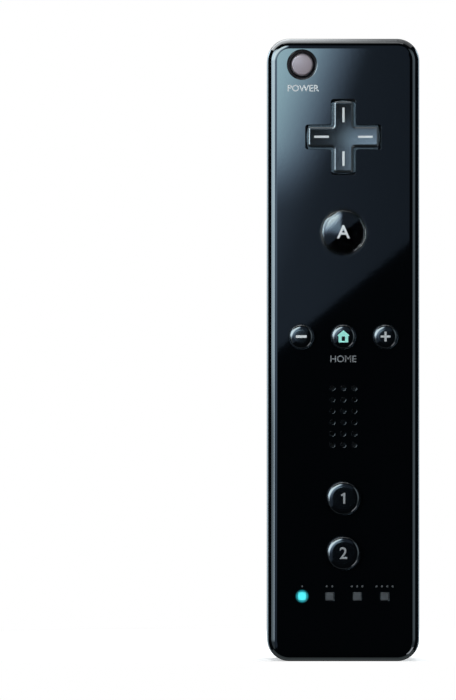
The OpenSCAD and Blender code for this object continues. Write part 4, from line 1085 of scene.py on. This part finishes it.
lid = [fill(back, [cover_loop(-cover_round), from_back(thumb)], 1.0), fill(under_cover, [cover_loop(0)], 1.2),
       *rim(on_cover_edge, cover_ring, lipped(cover_round, cover_thick, False), False),
       fill(thumb_floor, [thumb])]
for z, facing in ((thumb_low, upwards), (thumb_high, downwards)):
    thumb_side = columns(thumb_across, z)
    lid.append(strip(np.stack([on_back(thumb_side)[0], thumb_floor(thumb_side)[0]]),
                     np.tile(np.array(facing, float), (2, len(thumb_side), 1)), False))
piece("cover_lid", lid, satin, "cover", "battery_cover")

# STUDIO
# A pale table on a white ground, large soft lamps, and glowing cards round the wand that only gloss mirrors.
# The room behind the camera is dark, as it is in a studio, so that black plastic stays black.
# Sizes are in metres here.


def staged(name, points):
    """A flat sheet that isn't part of the wand, with an empty material: the sheet and its nodes' tree."""
    mesh = bpy.data.meshes.new(name)
    mesh.from_pydata(points, [], [list(range(len(points)))])
    made = bpy.data.objects.new(name, mesh)
    bpy.context.scene.collection.objects.link(made)
    m = bpy.data.materials.new(name)
    m.use_nodes = True
    m.node_tree.nodes.remove(m.node_tree.nodes["Principled BSDF"])
    mesh.materials.append(m)
    return made, m.node_tree


def joined(how, first, *others):
    """Numbers of a nodes' tree put together one after the other, by a sum, a product or the larger one."""
    for other in others:
        first = node(first.id_data, "Math", first, other, how=how)[0]
    return first


def times(*values):
    """The product of some numbers."""
    return joined("MULTIPLY", *values)


def plus(*values):
    """The sum of some numbers."""
    return joined("ADD", *values)


def larger(*values):
    """The largest of some numbers."""
    return joined("MAXIMUM", *values)


def surface(shader):
    """Puts a shader on a sheet."""
    wire(shader.id_data.nodes["Material Output"], Surface=shader)


table_wide, table_long, table_y, table_front = 0.16, 0.14, 0.09, -0.0125
a = angles(96)
table_edge = columns(table_wide * np.cos(a), np.maximum(table_y + table_long * np.sin(a), table_front), 0)
table, tree = staged("table", table_edge.tolist())
table.visible_glossy = False
ray = node(tree, "LightPath")
seen = larger(ray["Is Camera Ray"], larger(ray["Is Glossy Ray"], ray["Is Transmission Ray"]))
from_middle = node(tree, "VectorMath", node(tree, "TexCoord")["Object"], (6.25, 7.14, 0), (0, -0.643, 0),
                   how="MULTIPLY_ADD")[0]
away = ramp(node(tree, "VectorMath", from_middle, how="LENGTH")["Value"], 0.72, 0.98, 0, 1)
matt = node(tree, "AddShader", node(tree, "BsdfDiffuse", Color=(0.82, 0.82, 0.82, 1))[0],
            node(tree, "Emission", Strength=times(seen, 0.4))[0])[0]
surface(node(tree, "MixShader", away, matt, node(tree, "Emission", Strength=1.0)[0])[0])


def glossy_card(name, corners):
    """A glowing card that only gloss mirrors: its own X, Y and Z."""
    made, tree = staged(name, corners)
    made.visible_camera = made.visible_diffuse = made.visible_transmission = made.visible_shadow = False
    return node(tree, "SeparateXYZ", Vector=node(tree, "TexCoord")["Object"])


def along(axes, **shares):
    """A direction's coordinate: the sum of shares of X, Y and Z."""
    return plus(*[times(axes[k], v) for k, v in shares.items()])


def blend(share, one, other):
    """A colour between one and the other."""
    return node(share.id_data, "Mix", how="RGBA", Factor=share, A=one, B=other)["Result"]


def shine(axes, colour, strength):
    """Light for a card, in a colour and a strength that may change over it."""
    surface(node(axes["X"].id_data, "Emission", Color=colour, Strength=strength)[0])


axes = glossy_card("front_card", [(-1.6, -2.0, -1.225), (0.9, -2.0, 0.81), (0.9, -2.0, 1.6),
                                  (-1.6, -2.0, 1.6)])
card_x, card_z = axes["X"], axes["Z"]
near = times(ramp(along(axes, X=1, Z=-0.35), -0.0816, -0.034, 1, 0), ramp(card_z, 0.138, 0.175, 0.15, 1),
             ramp(card_x, -0.12, -0.03, 0, 1), ramp(card_z, 0.222, 0.25, 1, 0))
wide = times(ramp(card_x, -1.2, -0.12, 0.1, 0.45), ramp(card_x, -0.03, -0.14, 0, 1),
             ramp(card_z, -0.1, 0.35, 0, 1), ramp(card_z, 0.3, 0.9, 1, 0.1))
high = times(ramp(along(axes, X=-0.69, Z=1), 0.6, 1.3, 0, 1), ramp(card_x, -0.3, 0.02, 1, 0))
low = plus(near, wide)
tint = blend(high, blend(low, (0.48, 0.69, 1, 1), (0.56, 0.88, 1, 1)), (0.77, 0.95, 1, 1))
shine(axes, tint, plus(ramp(card_x, 0.0, 0.06, 0.5, 0.34), times(low, 10.8), times(high, 16)))


def standing_card(name, near, far, foot, head):
    """A card that stands upright between two places on the ground."""
    return glossy_card(name, [(*near, foot), (*far, foot), (*far, head), (*near, head)])


for name, s, foot, step, top in (("left_card", -1, 2.4, 5.6, 10), ("right_card", 1, 0.9, 0, 0.4)):
    axes = standing_card(name, (s * 0.944, -1.166), (s * 1.40, -0.54), -0.9, 1.2)
    card_z = axes["Z"]
    slant = ramp(along(axes, X=0.707 * s, Y=0.707, Z=1), -0.665, -0.595, 0, 0.7)
    level = plus(slant, ramp(card_z, -0.3, 0, 0, foot), ramp(card_z, 0.036, 0.08, 0, step),
                 ramp(card_z, 0.06, 0.3, 0, top))
    shine(axes, (0.68, 0.88, 1, 1), times(level, ramp(card_z, 0.7, 1.15, 1, 0.5)))
for name, s, foot_z, foot, top in (("rear_left_card", -1, -0.9, 5.4, 12),
                                   ("rear_right_card", 1, -0.7, 3.1, 6.3)):
    axes = standing_card(name, (s * 1.229, 0.860), (s * 0.634, 1.360), foot_z, 0.8)
    card_z = axes["Z"]
    off_middle = node(card_z.id_data, "Math", along(axes, X=-0.766 * s, Y=0.643), how="ABSOLUTE")[0]
    level = times(ramp(card_z, 0.1, 0.6, foot, top), ramp(card_z, -0.6, 0.05, 0.15, 1),
                  ramp(card_z, 0.6, 0.78, 1, 0), ramp(off_middle, 0.06, 0.36, 1, 0))
    shine(axes, (0.66, 0.87, 1, 1), level)
axes = glossy_card("top_card", [(-2.0, -0.3, 1.5), (1.4, -0.3, 1.5), (1.4, 2.0, 1.5), (-2.0, 2.0, 1.5)])
shine(axes, (0.92, 0.97, 1, 1), ramp(axes["X"], -0.02, 0.055, 7, 1.0))
axes = glossy_card("low_card", [(-0.6, -0.1, -0.4), (0.6, -0.1, -0.4), (0.6, 0.3, -0.4), (-0.6, 0.3, -0.4)])
shine(axes, (0.80, 0.95, 1, 1), 0.6)
axes = glossy_card("corner_card", [(0.600, -0.532, -1.022), (0.782, -0.176, -1.022), (1.120, -0.348, -0.558),
                                   (0.938, -0.704, -0.558)])
shine(axes, (0.86, 0.92, 1, 1), 6)


def lamp(name, place, aim, w, h, watts, colour):
    """A soft rectangular lamp turned to a point, which the camera doesn't see."""
    data = bpy.data.lights.new(name, "AREA")
    data.shape, data.size, data.size_y, data.energy, data.color = "RECTANGLE", w, h, watts, colour
    made = bpy.data.objects.new(name, data)
    bpy.context.scene.collection.objects.link(made)
    made.location = place
    made.rotation_mode = "QUATERNION"
    made.rotation_quaternion = (Vector(aim) - Vector(place)).to_track_quat("-Z", "Y")
    made.visible_camera = False
    return made


middle, cool, cooler = (0, 0, 0.07), (0.94, 0.98, 1), (0.92, 0.98, 1)
lamp("left_lamp", (-1.6, -1.6, 0.5), middle, 0.8, 1.6, 20, cooler)
lamp("top_lamp", (0, 0.1, 1.5), (0, 0.1, 0), 1.0, 1.4, 14, cool)
lamp("back_lamp", (-1.2, 1.5, 0.6), middle, 1.0, 1.2, 10, cool)
lamp("right_lamp", (1.6, -1.4, 0.5), middle, 0.6, 1.4, 5, cooler)
lamp("side_lamp", (2.0, 0.4, 0.5), middle, 0.8, 1.4, 40, (0.84, 0.95, 1)).visible_glossy = False
world = bpy.data.worlds.new("studio")
bpy.context.scene.world = world
world.use_nodes = True
tree = world.node_tree
ray = node(tree, "LightPath")
through = ray["Is Transmission Ray"]
behind = ramp(node(tree, "SeparateXYZ", Vector=node(tree, "TexCoord")["Generated"])["Y"], 0.6, 0.95, 0, 1)
mirrored = times(behind, node(tree, "Mix", Factor=through, A=0.2, B=1.0)["Result"])
room = node(tree, "Mix", Factor=larger(ray["Is Glossy Ray"], through), A=0.35, B=mirrored)["Result"]
wire(tree.nodes["Background"], Color=(1, 1, 1, 1), Strength=larger(ray["Is Camera Ray"], room))
camera = bpy.data.objects.new("camera", bpy.data.cameras.new("camera"))
bpy.context.scene.collection.objects.link(camera)
camera.location = (-0.0274, -2.0143, 0.074)
camera.rotation_euler = (np.pi / 2, 0, 0)
camera.data.lens, camera.data.sensor_width = 433, 36
camera.data.clip_end = 20
bpy.context.scene.camera = camera
bpy.context.scene.view_settings.view_transform = "Standard"
